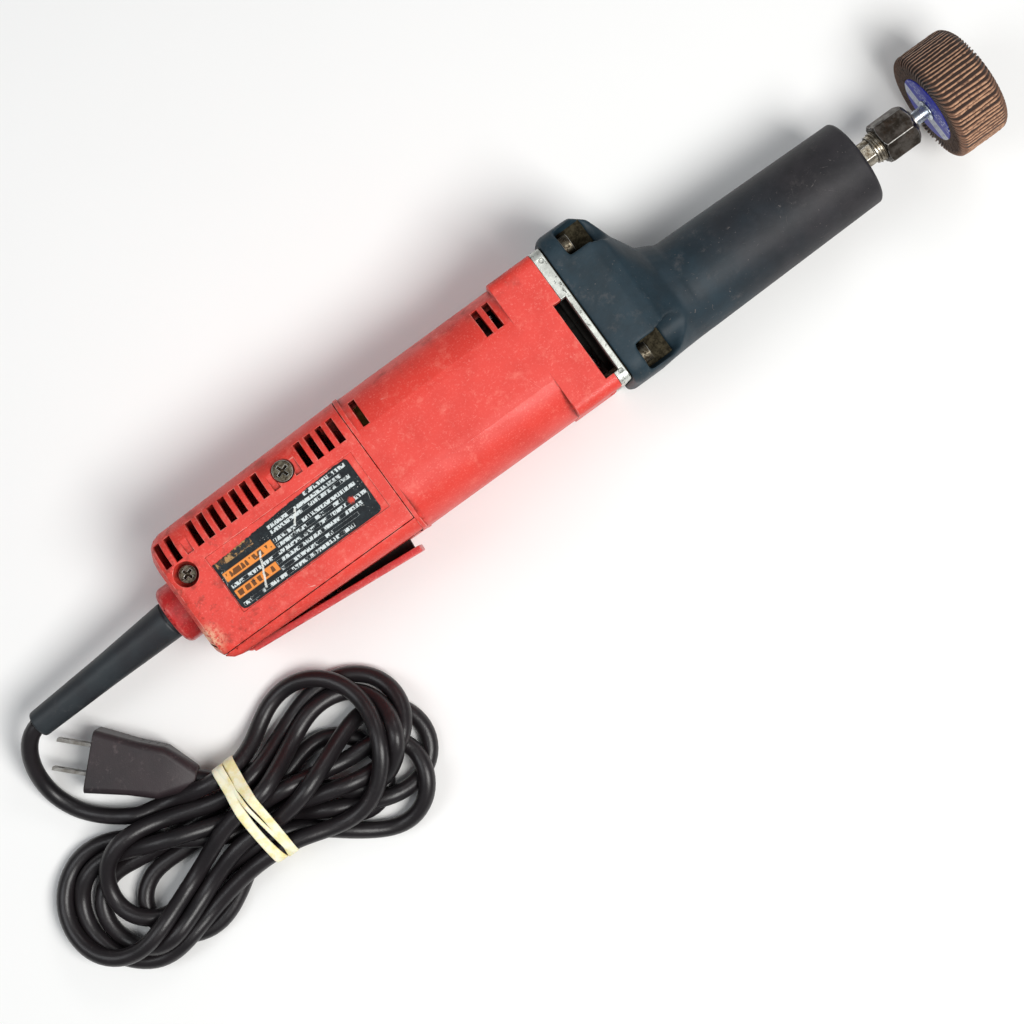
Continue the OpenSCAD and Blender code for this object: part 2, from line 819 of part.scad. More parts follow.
module collet_nut() {
    color("dimgray") difference() {
        intersection() {
            along_x(nut_x[0], spindle_y) rotate([0, 0, 15])
                cylinder(r = nut_af / 2 / cos(30), h = nut_x[1] - nut_x[0], $fn = 6);
            along_x(nut_x[0], spindle_y) rotate_extrude() polygon([
                [0, 0], [9, 0], [10.1, 1], [10.1, 14.4], [7.9, 16.6], [0, 16.6]
            ]);
        }
        tube_x(thread_r + 0.05, nut_x[0] - 1, spindle_end + 1, spindle_y);
        along_x(spindle_end + 0.9, spindle_y) cylinder(r1 = 7.05, r2 = 6.6, h = 3.2);
        along_x(collet_x[0] + 19 - 0.1, spindle_y) cylinder(r1 = 6.6, r2 = 5.3, h = 3.1);
        tube_x(5.3, spindle_end, nut_x[1] + 1, spindle_y);
    }
}

module wheel_shank() {
    color(steel) {
        tube_x(shank_r, 247, wheel_x + flap_w - 1, spindle_y);
        tube_x(4.8, wheel_x - 0.9, wheel_x, spindle_y);
    }
}

module wheel_core() {
    color("saddlebrown") ring_x(9.5, shank_r, wheel_x + 0.4, wheel_x + flap_w - 1.4, spindle_y);
}

module wheel_flaps() {
    color("tan") along_x(wheel_x, spindle_y) rotate_extrude() polygon(concat(
        [[9.5, 0.4], [16, 0.4], [flap_r - 3, 0]],
        [for (a = [0:15:90]) [flap_r - 3 + 3 * sin(a), 3 - 3 * cos(a)]],
        [for (a = [0:15:90]) [flap_r - 5 + 5 * cos(a), flap_w - 5 + 5 * sin(a)]],
        [[16, flap_w], [9.5, flap_w - 1.4]]
    ));
}

module wheel_label() {
    color("royalblue") ring_x(15.5, 4.8, wheel_x, wheel_x + 0.4, spindle_y);
}

module wheel_rivet() {
    color(steel) ring_x(9, 4, wheel_x + flap_w - 1.4, wheel_x + flap_w - 0.4, spindle_y);
}

// ---- paddle ----

module paddle_pressed() {
    difference() {
        union() {
            box3(
                [hinge[0], paddle_y - paddle_t, axis_h - paddle_w / 2],
                [hinge[0] + paddle_l, paddle_y, axis_h + paddle_w / 2]
            );
            translate([hinge[0], hinge[1], axis_h - paddle_w / 2]) cylinder(r = 3, h = paddle_w);
        }
        translate([hinge[0], hinge[1], 0]) cylinder(r = 1.55, h = top_z);
    }
}

// turns the pressed paddle out to where its spring holds it
module released() {
    translate([hinge[0], hinge[1], 0]) rotate([0, 0, -paddle_a]) translate([-hinge[0], -hinge[1], 0])
        children();
}

module paddle_lever() {
    color(red) released() paddle_pressed();
}

// rubber pad that goes into the housing behind the paddle
module paddle_pad() {
    color(rubber) released() {
        box3([pad_x[0], paddle_y, axis_h - pad_hz], [pad_x[1] + eps, pad_y[0], axis_h + pad_hz]);
        box3([pad_x[1], paddle_y, axis_h - pad_hz], [pad_x[2], pad_y[1], axis_h + pad_hz]);
    }
}

module paddle_pin() {
    color(steel) translate([hinge[0], hinge[1], axis_h - 19.5]) cylinder(r = 1.5, h = 39);
}

module switch_plunger() {
    color("ghostwhite") translate([plunger_x, -21, axis_h]) rotate([90, 0, 0])
        cylinder(r = 3, h = -21 - plunger_y0);
}

// ---- cord, hank and plug ----

module cord_lead() {
    color("dimgray") sweep(lead_route, cord_r, 10);
}

function lobe(c, from) = [
    for (a = [from:10:from + 190]) [c[0] + c[2] * cos(a), c[1] + c[2] * sin(a)]
];

module hank_plan() {
    polygon(concat(
        lobe(lobe_a, -95), [[tie_x[1] + 1, waist[0]], [tie_x[0] - 1, waist[0]]],
        lobe(lobe_b, 85), [[tie_x[0] - 1, waist[1]], [tie_x[1] + 1, waist[1]]]
    ));
}

module tie_outer() {
    box3([tie_x[0], waist[1] - 1.4, 0], [tie_x[1], waist[0] + 1.4, hank_h + 1.5]);
}

module tie_inner() {
    box3(
        [tie_x[0] - 1, waist[1] - 1.4 + tie_t, tie_t],
        [tie_x[1] + 1, waist[0] + 1.4 - tie_t, hank_h + 1.5 - tie_t]
    );
}

module cord_hank() {
    color("dimgray") difference() {
        linear_extrude(hank_h) hank_plan();
        difference() {
            tie_outer();
            tie_inner();
        }
    }
}

module cord_tie() {
    color("cornsilk") difference() {
        tie_outer();
        tie_inner();
    }
}

module cord_tail() {
    color("dimgray") sweep(tail_route, cord_r, 10);
}

module plug_frame() {
    translate(plug_at) rotate([0, 0, plug_a]) children();
}

module plug_section(x, hy, hz, r) {
    translate([x, 0, 0]) rotate([0, 90, 0]) linear_extrude(0.5) rounded(hz, hy, r, r, $fn = 24);
}

module plug_body() {
    color("dimgray") plug_frame() {
        hull() {
            plug_section(0, 5.2, 5.2, 5);
            plug_section(15, 11.6, 9, 4);
        }
        hull() {
            plug_section(15, 11.6, 9, 4);
            plug_section(28, 12, 9.4, 3.5);
        }
        hull() {
            plug_section(28, 12, 9.4, 3.5);
            plug_section(plug_l - 0.5, 14, 10, 3);
        }
    }
}

module plug_blades() {
    color("goldenrod") plug_frame() for (s = [-1, 1])
        translate([plug_l, s * 6.35 - 0.75, -3.15]) difference() {
            cube([16, 1.5, 6.3]);
            translate([12.5, -1, 3.15]) rotate([-90, 0, 0]) cylinder(r = 1.5, h = 4);
        }
}

motor_housing();
rear_cover();
cover_screws();
rating_label();
cord_collar();
strain_relief();
cord_clamp();
clamp_screws();
supply_cord();
supply_leads();
switch_body();
brush_leads();
paddle_pin();
brush_holders();
carbon_brushes();
brush_springs();
rear_bearing();
bearing_sleeve();
field_core();
field_coils();
fan_baffle();
bearing_plate();
armature_bearing();
gear_case();
case_screws();
boot();
spindle_rear_bearing();
spindle_front_bearing();
spindle_seal();
armature_shaft();
commutator();
armature_core();
armature_winding();
cooling_fan();
pinion();
spindle_shaft();
spindle_gear();
gear_key();
collet();
collet_nut();
wheel_shank();
wheel_core();
wheel_flaps();
wheel_label();
wheel_rivet();
paddle_lever();
paddle_pad();
switch_plunger();
cord_lead();
cord_hank();
cord_tie();
cord_tail();
plug_body();
plug_blades();
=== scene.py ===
import functools
import json
import math
import random

import bmesh
import bpy
import numpy as np
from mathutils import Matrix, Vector


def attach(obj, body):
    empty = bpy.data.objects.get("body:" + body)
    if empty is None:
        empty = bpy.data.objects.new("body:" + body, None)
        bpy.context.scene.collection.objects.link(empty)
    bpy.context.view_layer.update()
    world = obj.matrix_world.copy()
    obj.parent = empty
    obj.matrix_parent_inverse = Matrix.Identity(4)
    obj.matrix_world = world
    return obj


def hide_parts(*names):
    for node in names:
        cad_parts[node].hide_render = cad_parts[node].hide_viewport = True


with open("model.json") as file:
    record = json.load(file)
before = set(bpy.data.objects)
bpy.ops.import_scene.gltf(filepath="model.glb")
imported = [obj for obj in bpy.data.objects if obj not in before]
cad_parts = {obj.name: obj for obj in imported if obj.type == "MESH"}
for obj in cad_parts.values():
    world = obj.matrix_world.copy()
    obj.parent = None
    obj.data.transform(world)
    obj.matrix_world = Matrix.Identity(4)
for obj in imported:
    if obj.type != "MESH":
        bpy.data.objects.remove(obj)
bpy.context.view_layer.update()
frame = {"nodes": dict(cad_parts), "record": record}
cad = frame["nodes"]
body_of = {n: b for b, names in frame["record"]["behaviour"]["bodies"].items() for n in names}
scene = bpy.context.scene
scene.view_settings.view_transform = "Standard"

MM = 0.001
AXIS_Z = 0.035
SPINDLE_Y = -0.014


# ---------------------------------------------------------------- camera
VIEW_CENTRE = (0.0333, -0.0487)
CAMERA_HEIGHT = 0.970
CAMERA_TURN = -36
camera_data = bpy.data.cameras.new("camera")
camera_data.lens = 77.0
camera_data.sensor_width = 36.0
camera = bpy.data.objects.new("camera", camera_data)
camera.location = (*VIEW_CENTRE, CAMERA_HEIGHT)
camera.rotation_euler = (0, 0, math.radians(CAMERA_TURN))
scene.collection.objects.link(camera)
scene.camera = camera


# ---------------------------------------------------------------- the cord's route
CORD_D = 0.0076
LEAD = [
    (-.1865, -.0028, .024), (-.1912, -.0044, .0226), (-.1956, -.0078, .020), (-.1992, -.0126, .0165),
    (-.2018, -.0184, .0122), (-.203, -.0246, .0084), (-.2028, -.0308, .0058), (-.201, -.037, .0046),
    (-.198, -.0428, .0042), (-.1932, -.0484, .0054), (-.1873, -.0534, .0076), (-.181, -.0576, .010),
    (-.1745, -.0612, .012),
]
TAIL = [(-.139, -.0688, .010), (-.1428, -.0653, .010), (-.1465, -.0617, .010)]
PLUG_AT, PLUG_TURN = (-.1465, -.0617), math.radians(134.5)
WAIST_X, WAIST_Y = -.133, -.0882
PITCH = .0082
LEVEL = .009
# each loop of the hank: side, centre x, centre y and radius in mm, entered at its upper end
LOOPS = [
    (1, -94, -85, 28.5, True), (-1, -202, -91, 24.5, False), (1, -81, -113, 17.5, True),
    (-1, -186, -85, 22, False), (1, -80, -85, 22.5, True), (-1, -204, -86, 24, True),
    (1, -85, -88, 22, True), (-1, -196, -94, 21, True), (1, -74, -98, 19, True),
    (-1, -181, -99, 18, False), (1, -95, -97, 19, True),
]
# where each run crosses the waist: column from +Y, and level in the stack
CROSSINGS = [
    (0, 11), (4, 6), (1.5, 5), (3.5, 4), (1, 8), (2.5, 3.5),
    (2, 9), (0.5, 3), (3, 7), (3, 2), (2, 1), (0.3, 0),
]
CORD_STEP = .004


def hank_plan():
    """The cord's control points: the lead, each loop of the hank on its level, and the tail."""
    points = list(LEAD)
    for k, (column, level) in enumerate(CROSSINGS):
        y = WAIST_Y + PITCH * (2 - column)
        run = (-.008, 0, .008) if k % 2 == 0 else (.008, 0, -.008)
        across = [(WAIST_X + x, y, LEVEL * level) for x in run]
        if k == len(LOOPS):
            points.append(across[0])
            break
        points += across
        side, cx, cy, r, upper = LOOPS[k]
        turn = np.radians(np.linspace(112, -112, 9))
        loop = np.stack([cx + side * r * np.cos(turn), cy + r * np.sin(turn)], 1) * MM
        if not upper:
            loop = loop[::-1]
        column2, level2 = CROSSINGS[k + 1]
        after = np.array([WAIST_X + .008 * side, WAIST_Y + PITCH * (2 - column2)])
        before = (np.array(across[-1][:2]) + loop[0]) / 2
        after = (after + loop[-1]) / 2
        plan = np.vstack([before, loop, after])
        points += [(x, y, z) for (x, y), z in zip(plan, np.linspace(level, level2, 11) * LEVEL)]
    return np.array(points + TAIL, float)


def resample(p, step, dims=3):
    s = np.append(0, np.cumsum(np.linalg.norm(np.diff(p[:, :dims], axis=0), axis=1)))
    t = np.linspace(0, s[-1], round(s[-1] / step) + 1)
    return np.stack([np.interp(t, s, p[:, k]) for k in range(3)], 1)


def spline(p, step, dims=3):
    """A smooth curve through the points (centripetal Catmull-Rom), resampled to even steps."""
    q = np.vstack([2 * p[0] - p[1], p, 2 * p[-1] - p[-2]])
    out = []
    for a, b, c, d in zip(q[:-3], q[1:-2], q[2:-1], q[3:]):
        spans = [(v - u)[:dims] for u, v in ((a, b), (b, c), (c, d))]
        t1, t2, t3 = np.cumsum([np.linalg.norm(span) ** 0.5 for span in spans])
        t = np.linspace(t1, t2, 24, endpoint=False)[:, None]
        ab = ((t1 - t) * a + t * b) / t1
        bc = ((t2 - t) * b + (t - t1) * c) / (t2 - t1)
        cd = ((t3 - t) * c + (t - t2) * d) / (t3 - t2)
        abc = ((t2 - t) * ab + t * bc) / t2
        bcd = ((t3 - t) * bc + (t - t1) * cd) / (t3 - t1)
        out.append(((t2 - t) * abc + (t - t1) * bcd) / (t2 - t1))
    return resample(np.vstack(out + [p[-1:]]), step, dims)


def blur(v, passes):
    for _ in range(passes):
        w = v.copy()
        w[1:-1] = 0.25 * v[:-2] + 0.5 * v[1:-1] + 0.25 * v[2:]
        v = w
    return v


def settle(p, fixed, floor, rounds=360, gap=.0077, slide=2.4, most=.0055):
    """Lowers the hank's turns onto the floor and onto each other. Turns that cross keep their
    order; turns that lie side by side are pushed apart; a stiffness filter keeps bends easy."""
    n = len(p)
    first, second = np.triu_indices(n, int(2.0 * gap / CORD_STEP) + 2)
    order = np.where(p[first, 2] >= p[second, 2], 1.0, -1.0)
    home = p[:, :2].copy()
    free = (~fixed).astype(float)
    give = blur(free, 6) * free
    for r in range(rounds):
        cool = r / rounds
        if r % 10 == 0:
            near = np.hypot(*(p[first, :2] - p[second, :2]).T) < gap + .003
            ii, jj, over = first[near], second[near], order[near]
        z = p[:, 2]
        z -= free * (.0012 if cool < 0.5 else .0003 if cool < 0.8 else .00006)
        for _ in range(10):
            b = z.copy()
            b[2:-2] = (-z[:-4] + 4 * z[1:-3] + 10 * z[2:-2] + 4 * z[3:-1] - z[4:]) / 16
            z[:] = np.where(fixed, z, b)
        for _ in range(3):
            apart = p[ii, :2] - p[jj, :2]
            flat = (apart ** 2).sum(1)
            need = np.sqrt(np.maximum(gap * gap - flat, 0))
            push = np.where(flat < gap * gap, np.maximum(need - over * (z[ii] - z[jj]), 0), 0) / 2
            hit = push > 0
            a, b, f = ii[hit], jj[hit], push[hit]
            count = np.maximum(np.bincount(a, minlength=n) + np.bincount(b, minlength=n), 1)
            up = (np.bincount(a, f * over[hit], n) - np.bincount(b, f * over[hit], n)) / count
            z += free * 1.2 * up
            if cool < 0.9:
                side = np.stack([
                    (np.bincount(a, f * d, n) - np.bincount(b, f * d, n)) / count / gap
                    for d in apart[hit].T], 1)
                p[:, :2] += slide * give[:, None] * blur(side, 10)
            z[:] = np.maximum(z, floor)
        off = (p[:, :2] - home) * 0.996
        off /= np.maximum(np.linalg.norm(off, axis=1) / most, 1)[:, None]
        p[:, :2] = home + blur(off, 1)
        p[fixed, :2] = home[fixed]
    return p


def cord_route():
    p = spline(hank_plan(), CORD_STEP, 2)
    fixed = np.zeros(len(p), bool)
    fixed[:np.argmin(np.linalg.norm(p - np.array(LEAD[-1]), axis=1))] = True
    fixed[-3:] = True
    for _ in range(3):
        p[:, :2] = np.where(fixed[:, None], p[:, :2], blur(p[:, :2], 1))
    band_lift = .0007 * np.exp(-((p[:, 0] - WAIST_X) / .011) ** 2)
    p = settle(p, fixed, CORD_D / 2 + band_lift)
    for _ in range(2):
        p = np.where(fixed[:, None], p, blur(p, 1))
    return p


route = cord_route()
fine_route = spline(route, .0026)
fine_route[:, 2] = np.maximum(fine_route[:, 2], CORD_D / 2)
cord_curve = bpy.data.curves.new("supply_cord_outside", "CURVE")
cord_curve.dimensions = "3D"
cord_curve.bevel_depth = CORD_D / 2
cord_curve.bevel_resolution = 5
cord_curve.use_fill_caps = True
cord_spline = cord_curve.splines.new("POLY")
cord_spline.points.add(len(fine_route) - 1)
for point, co in zip(cord_spline.points, fine_route):
    point.co = (*co, 1)
cord_spline.use_smooth = True
cord = bpy.data.objects.new("supply_cord_outside", cord_curve)
scene.collection.objects.link(cord)


# ---------------------------------------------------------------- materials
def linear(r, g, b):
    return tuple(((c / 255 + .055) / 1.055) ** 2.4 for c in (r, g, b)) + (1.0,)


class Paint:
    """One procedural material. Sizes and places are metres in the part's frame."""

    def __init__(self, name, rough=0.5, metal=0.0, coat=0.0):
        self.material = bpy.data.materials.new(name)
        self.material.use_nodes = True
        self.tree = self.material.node_tree
        self.shader = self.tree.nodes["Principled BSDF"]
        self.shader.inputs["Metallic"].default_value = metal
        self.shader.inputs["Roughness"].default_value = rough
        self.shader.inputs["Coat Weight"].default_value = coat
        self.place = self.node("TexCoord").outputs["Object"]
        self.x, self.y, self.z = self.split(self.place)

    def node(self, kind, **settings):
        n = self.tree.nodes.new("ShaderNode" + kind)
        for key, value in settings.items():
            setattr(n, key, value)
        return n

    def wire(self, value, socket):
        if isinstance(value, bpy.types.NodeSocket):
            self.tree.links.new(value, socket)
        else:
            socket.default_value = value

    def split(self, vector):
        n = self.node("SeparateXYZ")
        self.wire(vector, n.inputs[0])
        return n.outputs

    def math(self, operation, a, b=0.0, clamp=False):
        n = self.node("Math", operation=operation, use_clamp=clamp)
        self.wire(a, n.inputs[0])
        self.wire(b, n.inputs[1])
        return n.outputs[0]

    def product(self, *factors):
        out = factors[0]
        for f in factors[1:]:
            out = self.math("MULTIPLY", out, f)
        return out

    def noise(self, size, detail=3.0, rough=0.5, stretch=(1, 1, 1), turn=(0, 0, 0), warp=0.0):
        where = self.node("Mapping", vector_type="TEXTURE")
        self.wire(self.place, where.inputs["Vector"])
        where.inputs["Rotation"].default_value = [math.radians(a) for a in turn]
        where.inputs["Scale"].default_value = [size * s for s in stretch]
        n = self.node("TexNoise")
        self.wire(where.outputs[0], n.inputs["Vector"])
        settings = {"Scale": 1.0, "Detail": detail, "Roughness": rough, "Distortion": warp}
        for socket, value in settings.items():
            n.inputs[socket].default_value = value
        return n.outputs[0]

    def step(self, value, low, high):
        """0 below low, 1 above high, smooth between. low may be the larger."""
        n = self.node("MapRange", interpolation_type="SMOOTHSTEP")
        self.wire(value, n.inputs[0])
        n.inputs[1].default_value, n.inputs[2].default_value = low, high
        return n.outputs[0]

    def box(self, value, low, high, soft):
        """1 between low and high, 0 outside, with soft ends."""
        rise = self.step(value, low - soft, low + soft)
        fall = self.step(value, high + soft, high - soft)
        return self.product(rise, fall)

    def near(self, point, reach):
        """1 at the point, 0 beyond its reach."""
        n = self.node("VectorMath", operation="DISTANCE")
        self.wire(self.place, n.inputs[0])
        n.inputs[1].default_value = point
        return self.step(n.outputs["Value"], reach, reach * 0.2)

    def scored(self, end, far, width):
        """A ragged scratch from one (x, y) in mm to another."""
        (x0, y0), (x1, y1) = end, far
        long = math.hypot(x1 - x0, y1 - y0)
        ux, uy = (x1 - x0) / long, (y1 - y0) / long
        dx = self.math("SUBTRACT", self.x, x0 * MM)
        dy = self.math("SUBTRACT", self.y, y0 * MM)
        along = self.math("ADD", self.math("MULTIPLY", dx, ux), self.math("MULTIPLY", dy, uy))
        aside = self.math("SUBTRACT", self.math("MULTIPLY", dy, ux), self.math("MULTIPLY", dx, uy))
        wander = .0009
        aside = self.math("ADD", aside, self.math("MULTIPLY", self.noise(.002, 3), wander))
        line = self.box(aside, wander / 2 - width, wander / 2 + width, .0001)
        stretch = self.box(along, 0.0, long * MM, .0004)
        return self.product(line, stretch, self.step(self.noise(.0009, 3), 0.36, 0.44))

    def mix(self, factor, a, b):
        n = self.node("Mix", data_type="RGBA")
        for value, socket in zip((factor, a, b), (n.inputs[0], n.inputs[6], n.inputs[7])):
            self.wire(value, socket)
        return n.outputs[2]

    def blend(self, factor, a, b):
        n = self.node("Mix", data_type="FLOAT")
        for value, socket in zip((factor, a, b), (n.inputs[0], n.inputs[2], n.inputs[3])):
            self.wire(value, socket)
        return n.outputs[0]

    def worn_edge(self, size=.004, low=0.42, high=0.62):
        """Patches along the edges that refine() rounds."""
        n = self.node("Attribute", attribute_name="wear")
        return self.product(n.outputs["Fac"], self.step(self.noise(size, 4), low, high))

    def occlusion_mask(self, reach, low=0.85, high=0.45):
        """Ambient occlusion as a mask: more in corners and gaps that are narrower than the reach."""
        n = self.node("AmbientOcclusion", samples=8)
        n.inputs["Distance"].default_value = reach
        return self.step(n.outputs["AO"], low, high)

    def bump(self, *layers):
        """layers: (height 0..1, depth in metres)."""
        last = None
        for height, depth in layers:
            n = self.node("Bump")
            n.inputs["Strength"].default_value = 1.0
            n.inputs["Distance"].default_value = depth
            self.wire(height, n.inputs["Height"])
            if last is not None:
                self.tree.links.new(last, n.inputs["Normal"])
            last = n.outputs[0]
        self.tree.links.new(last, self.shader.inputs["Normal"])

    def done(self, colour, rough=None):
        self.wire(colour, self.shader.inputs["Base Color"])
        if rough is not None:
            self.wire(rough, self.shader.inputs["Roughness"])
        return self.material


def red_plastic(name, base, shade, gloss, wear, dirt_and_shade):
    """Moulded plastic: faded patches, pale speckle and scratches, grime at the rear, and darkening in
    corners and along the upper (+Y) side that is part dirt and part painted shade.
    """
    p = Paint(name, coat=0.05)
    grain = p.noise(.00055, 2)
    cloud = p.noise(.016, 5, 0.6)
    colour = p.mix(p.step(cloud, 0.3, 0.75), linear(*base), linear(*shade))
    faded = p.product(p.step(p.noise(.006, 6, 0.7), 0.52, 0.72), 0.35)
    colour = p.mix(faded, colour, linear(236, 128, 112))
    chalk = p.product(p.step(p.noise(.0013, 5, 0.75), 0.66, 0.74), p.step(p.noise(.02, 3), 0.45, 0.62))
    lines = [
        p.product(p.step(p.noise(.0011, 3, 0.6, (26, 1, 1), (0, 0, turn), 0.6), 0.71, 0.76),
                  p.step(p.noise(.017, 3), 0.52, 0.62))
        for turn in (35, 112, 160)
    ]
    scratch = p.math("MAXIMUM", p.math("MAXIMUM", lines[0], lines[1]), lines[2])
    pale = p.product(p.math("MAXIMUM", chalk, scratch), 0.7 * wear)
    colour = p.mix(pale, colour, linear(246, 190, 178))
    colour = p.mix(p.product(p.worn_edge(), 0.75 * wear), colour, linear(240, 160, 148))
    mottle = p.product(p.step(p.noise(.0008, 3, 0.7), 0.53, 0.72), 0.3)
    colour = p.mix(mottle, colour, linear(246, 150, 138))
    # grime_and_shade: patchy darkening from ambient occlusion in corners and gaps, part dirt and part
    # painted shade
    grime_and_shade = p.product(p.occlusion_mask(.0035), p.step(p.noise(.005, 4), 0.3, 0.6), dirt_and_shade)
    rear = p.product(p.step(p.x, -.035, -.098), p.step(p.noise(.0045, 5, 0.7), 0.5, 0.66), 0.55 * dirt_and_shade)
    # upper: the +Y side darkened in patches, part dirt and part painted shade of the side turned from the
    # key light
    upper = p.product(p.step(p.y, .020, .031), p.step(p.noise(.009, 5, 0.65), 0.48, 0.7), 0.5 * dirt_and_shade)
    grime_and_shade = p.math("MAXIMUM", grime_and_shade, p.math("MAXIMUM", rear, upper))
    colour = p.mix(grime_and_shade, colour, linear(98, 32, 16))
    bald = p.product(p.near((-.0985, -.0185, .0665), .0095), p.step(p.noise(.0016, 4, 0.7), 0.36, 0.56))
    colour = p.mix(p.product(bald, 0.85 * wear), colour, linear(238, 196, 160))
    rough = p.blend(p.step(cloud, 0.3, 0.7), gloss, gloss + 0.12)
    rough = p.blend(p.math("MAXIMUM", scratch, grime_and_shade), rough, 0.75)
    p.bump((grain, .00003), (scratch, -.00006), (p.noise(.012, 2), .00012))
    return p.done(colour, rough)


def plug_grooves(p):
    """Finger grooves across the narrow sides of the plug: four, 3.6 mm apart."""
    dx, dy = p.math("SUBTRACT", p.x, PLUG_AT[0]), p.math("SUBTRACT", p.y, PLUG_AT[1])
    c, s = math.cos(PLUG_TURN), math.sin(PLUG_TURN)
    along = p.math("ADD", p.math("MULTIPLY", dx, c), p.math("MULTIPLY", dy, s))
    aside = p.math("ABSOLUTE", p.math("SUBTRACT", p.math("MULTIPLY", dy, c), p.math("MULTIPLY", dx, s)))
    pitch = .0036
    wave = p.step(p.math("SINE", p.math("MULTIPLY", along, 2 * math.pi / pitch)), 0.2, 0.8)
    stretch = p.box(along, .0145, .0290, .0004)
    edge = p.step(aside, .0098, .0110)
    return p.product(wave, stretch, edge, p.box(p.z, .004, .0155, .0006))


def rubber(name, tone, warm, pale, rough, grain_size=.0007, depth=.00005, dust=0.4, grooves=None):
    """Black rubber in two tones, with pale scuffs, streaks and specks in the measure of its dust, and
    painted shade in its grooves when it has them.
    """
    p = Paint(name)
    p.shader.inputs["Specular IOR Level"].default_value = 0.42
    colour = p.mix(p.step(p.noise(.022, 4, 0.6), 0.35, 0.7), linear(*tone), linear(*warm))
    patch = p.step(p.noise(.0042, 7, 0.75), 0.54, 0.74)
    scuff = p.product(patch, p.step(p.noise(.03, 2), 0.42, 0.62), dust)
    streaks = p.product(p.step(p.noise(.0012, 3, 0.6, (14, 1, 1), (0, 10, 28), 0.8), 0.69, 0.76),
                        p.step(p.noise(.018, 2), 0.53, 0.63), dust)
    specks = p.product(p.step(p.noise(.0012, 3, 0.7), 0.69, 0.75), dust)
    scuff = p.math("MAXIMUM", p.math("MAXIMUM", scuff, p.product(streaks, 1.2)), specks)
    colour = p.mix(scuff, colour, linear(*pale))
    colour = p.mix(p.product(p.worn_edge(.006), 0.35), colour, linear(*pale))
    layers = [(p.noise(grain_size, 3, 0.6), depth), (p.noise(.009, 3), .00018), (streaks, -.00008)]
    if grooves:
        cuts = grooves(p)
        # painted shade: the grooves darkened to near black
        colour = p.mix(p.product(cuts, 0.8), colour, linear(14, 12, 13))
        layers.append((cuts, -.0008))
    p.bump(*layers)
    return p.done(colour, p.blend(scuff, rough, min(rough + 0.22, 0.95)))


def metal(name, bright, dark, rough, stain=0.5, size=.004, brushed=(1, 1, 1), oxide=(64, 48, 36),
          rub=0.8):
    """Metal in two tones, with oxide in patches and corners, and edges rubbed bright."""
    p = Paint(name, metal=1.0)
    patch = p.step(p.noise(size, 6, 0.65), 0.36, 0.66)
    colour = p.mix(patch, linear(*bright), linear(*dark))
    rust = p.product(p.step(p.noise(size * 0.7, 6, 0.75), 0.5, 0.66), stain)
    rust = p.math("MAXIMUM", rust, p.product(p.occlusion_mask(.0015), stain))
    colour = p.mix(rust, colour, linear(*oxide))
    colour = p.mix(p.product(p.worn_edge(.003, 0.3, 0.5), rub), colour, linear(225, 225, 222))
    fine = p.noise(.0005, 3, 0.6, brushed)
    p.bump((fine, .00002), (p.step(p.noise(size * 0.5, 4), 0.55, 0.7), -.00004))
    rough_map = p.blend(patch, rough, rough + 0.16)
    return p.done(colour, p.blend(rust, rough_map, 0.72))


def plain(name, colour, other, rough, metallic=0.0, size=.003, grain=.0006, depth=.00003):
    """Two mottled tones, darkened in the corners with painted shade, for the parts inside."""
    p = Paint(name, metal=metallic)
    tint = p.mix(p.step(p.noise(size, 4, 0.6), 0.35, 0.65), linear(*colour), linear(*other))
    # painted shade: the colour darkened in corners and gaps by ambient occlusion
    tint = p.mix(p.product(p.occlusion_mask(.002), 0.5), tint, linear(40, 34, 28))
    p.bump((p.noise(grain, 3), depth))
    return p.done(tint, p.blend(p.noise(size * 2, 3), rough, min(rough + 0.2, 1.0)))


# rows of small print on the label, in mm: middle y, and the ends in x
LABEL_ROWS = [
    (7.7, -32, -11), (5.0, -52, -15), (2.7, -52, -12), (-0.9, -53, -12), (-3.4, -53, -20),
    (-6.1, -78, -10), (-9.0, -57, -14), (-12.0, -57, -18), (-14.8, -78, -22),
]
# bars on the label, in mm: ends in x, ends in y, and paint
LABEL_BARS = [
    (-78.3, -60.3, 3.2, 6.8, (172, 132, 84)), (-78.2, -53.8, -3.4, 0.6, (232, 142, 62)),
    (-78.2, -57.4, -11.8, -7.9, (228, 138, 60)),
]


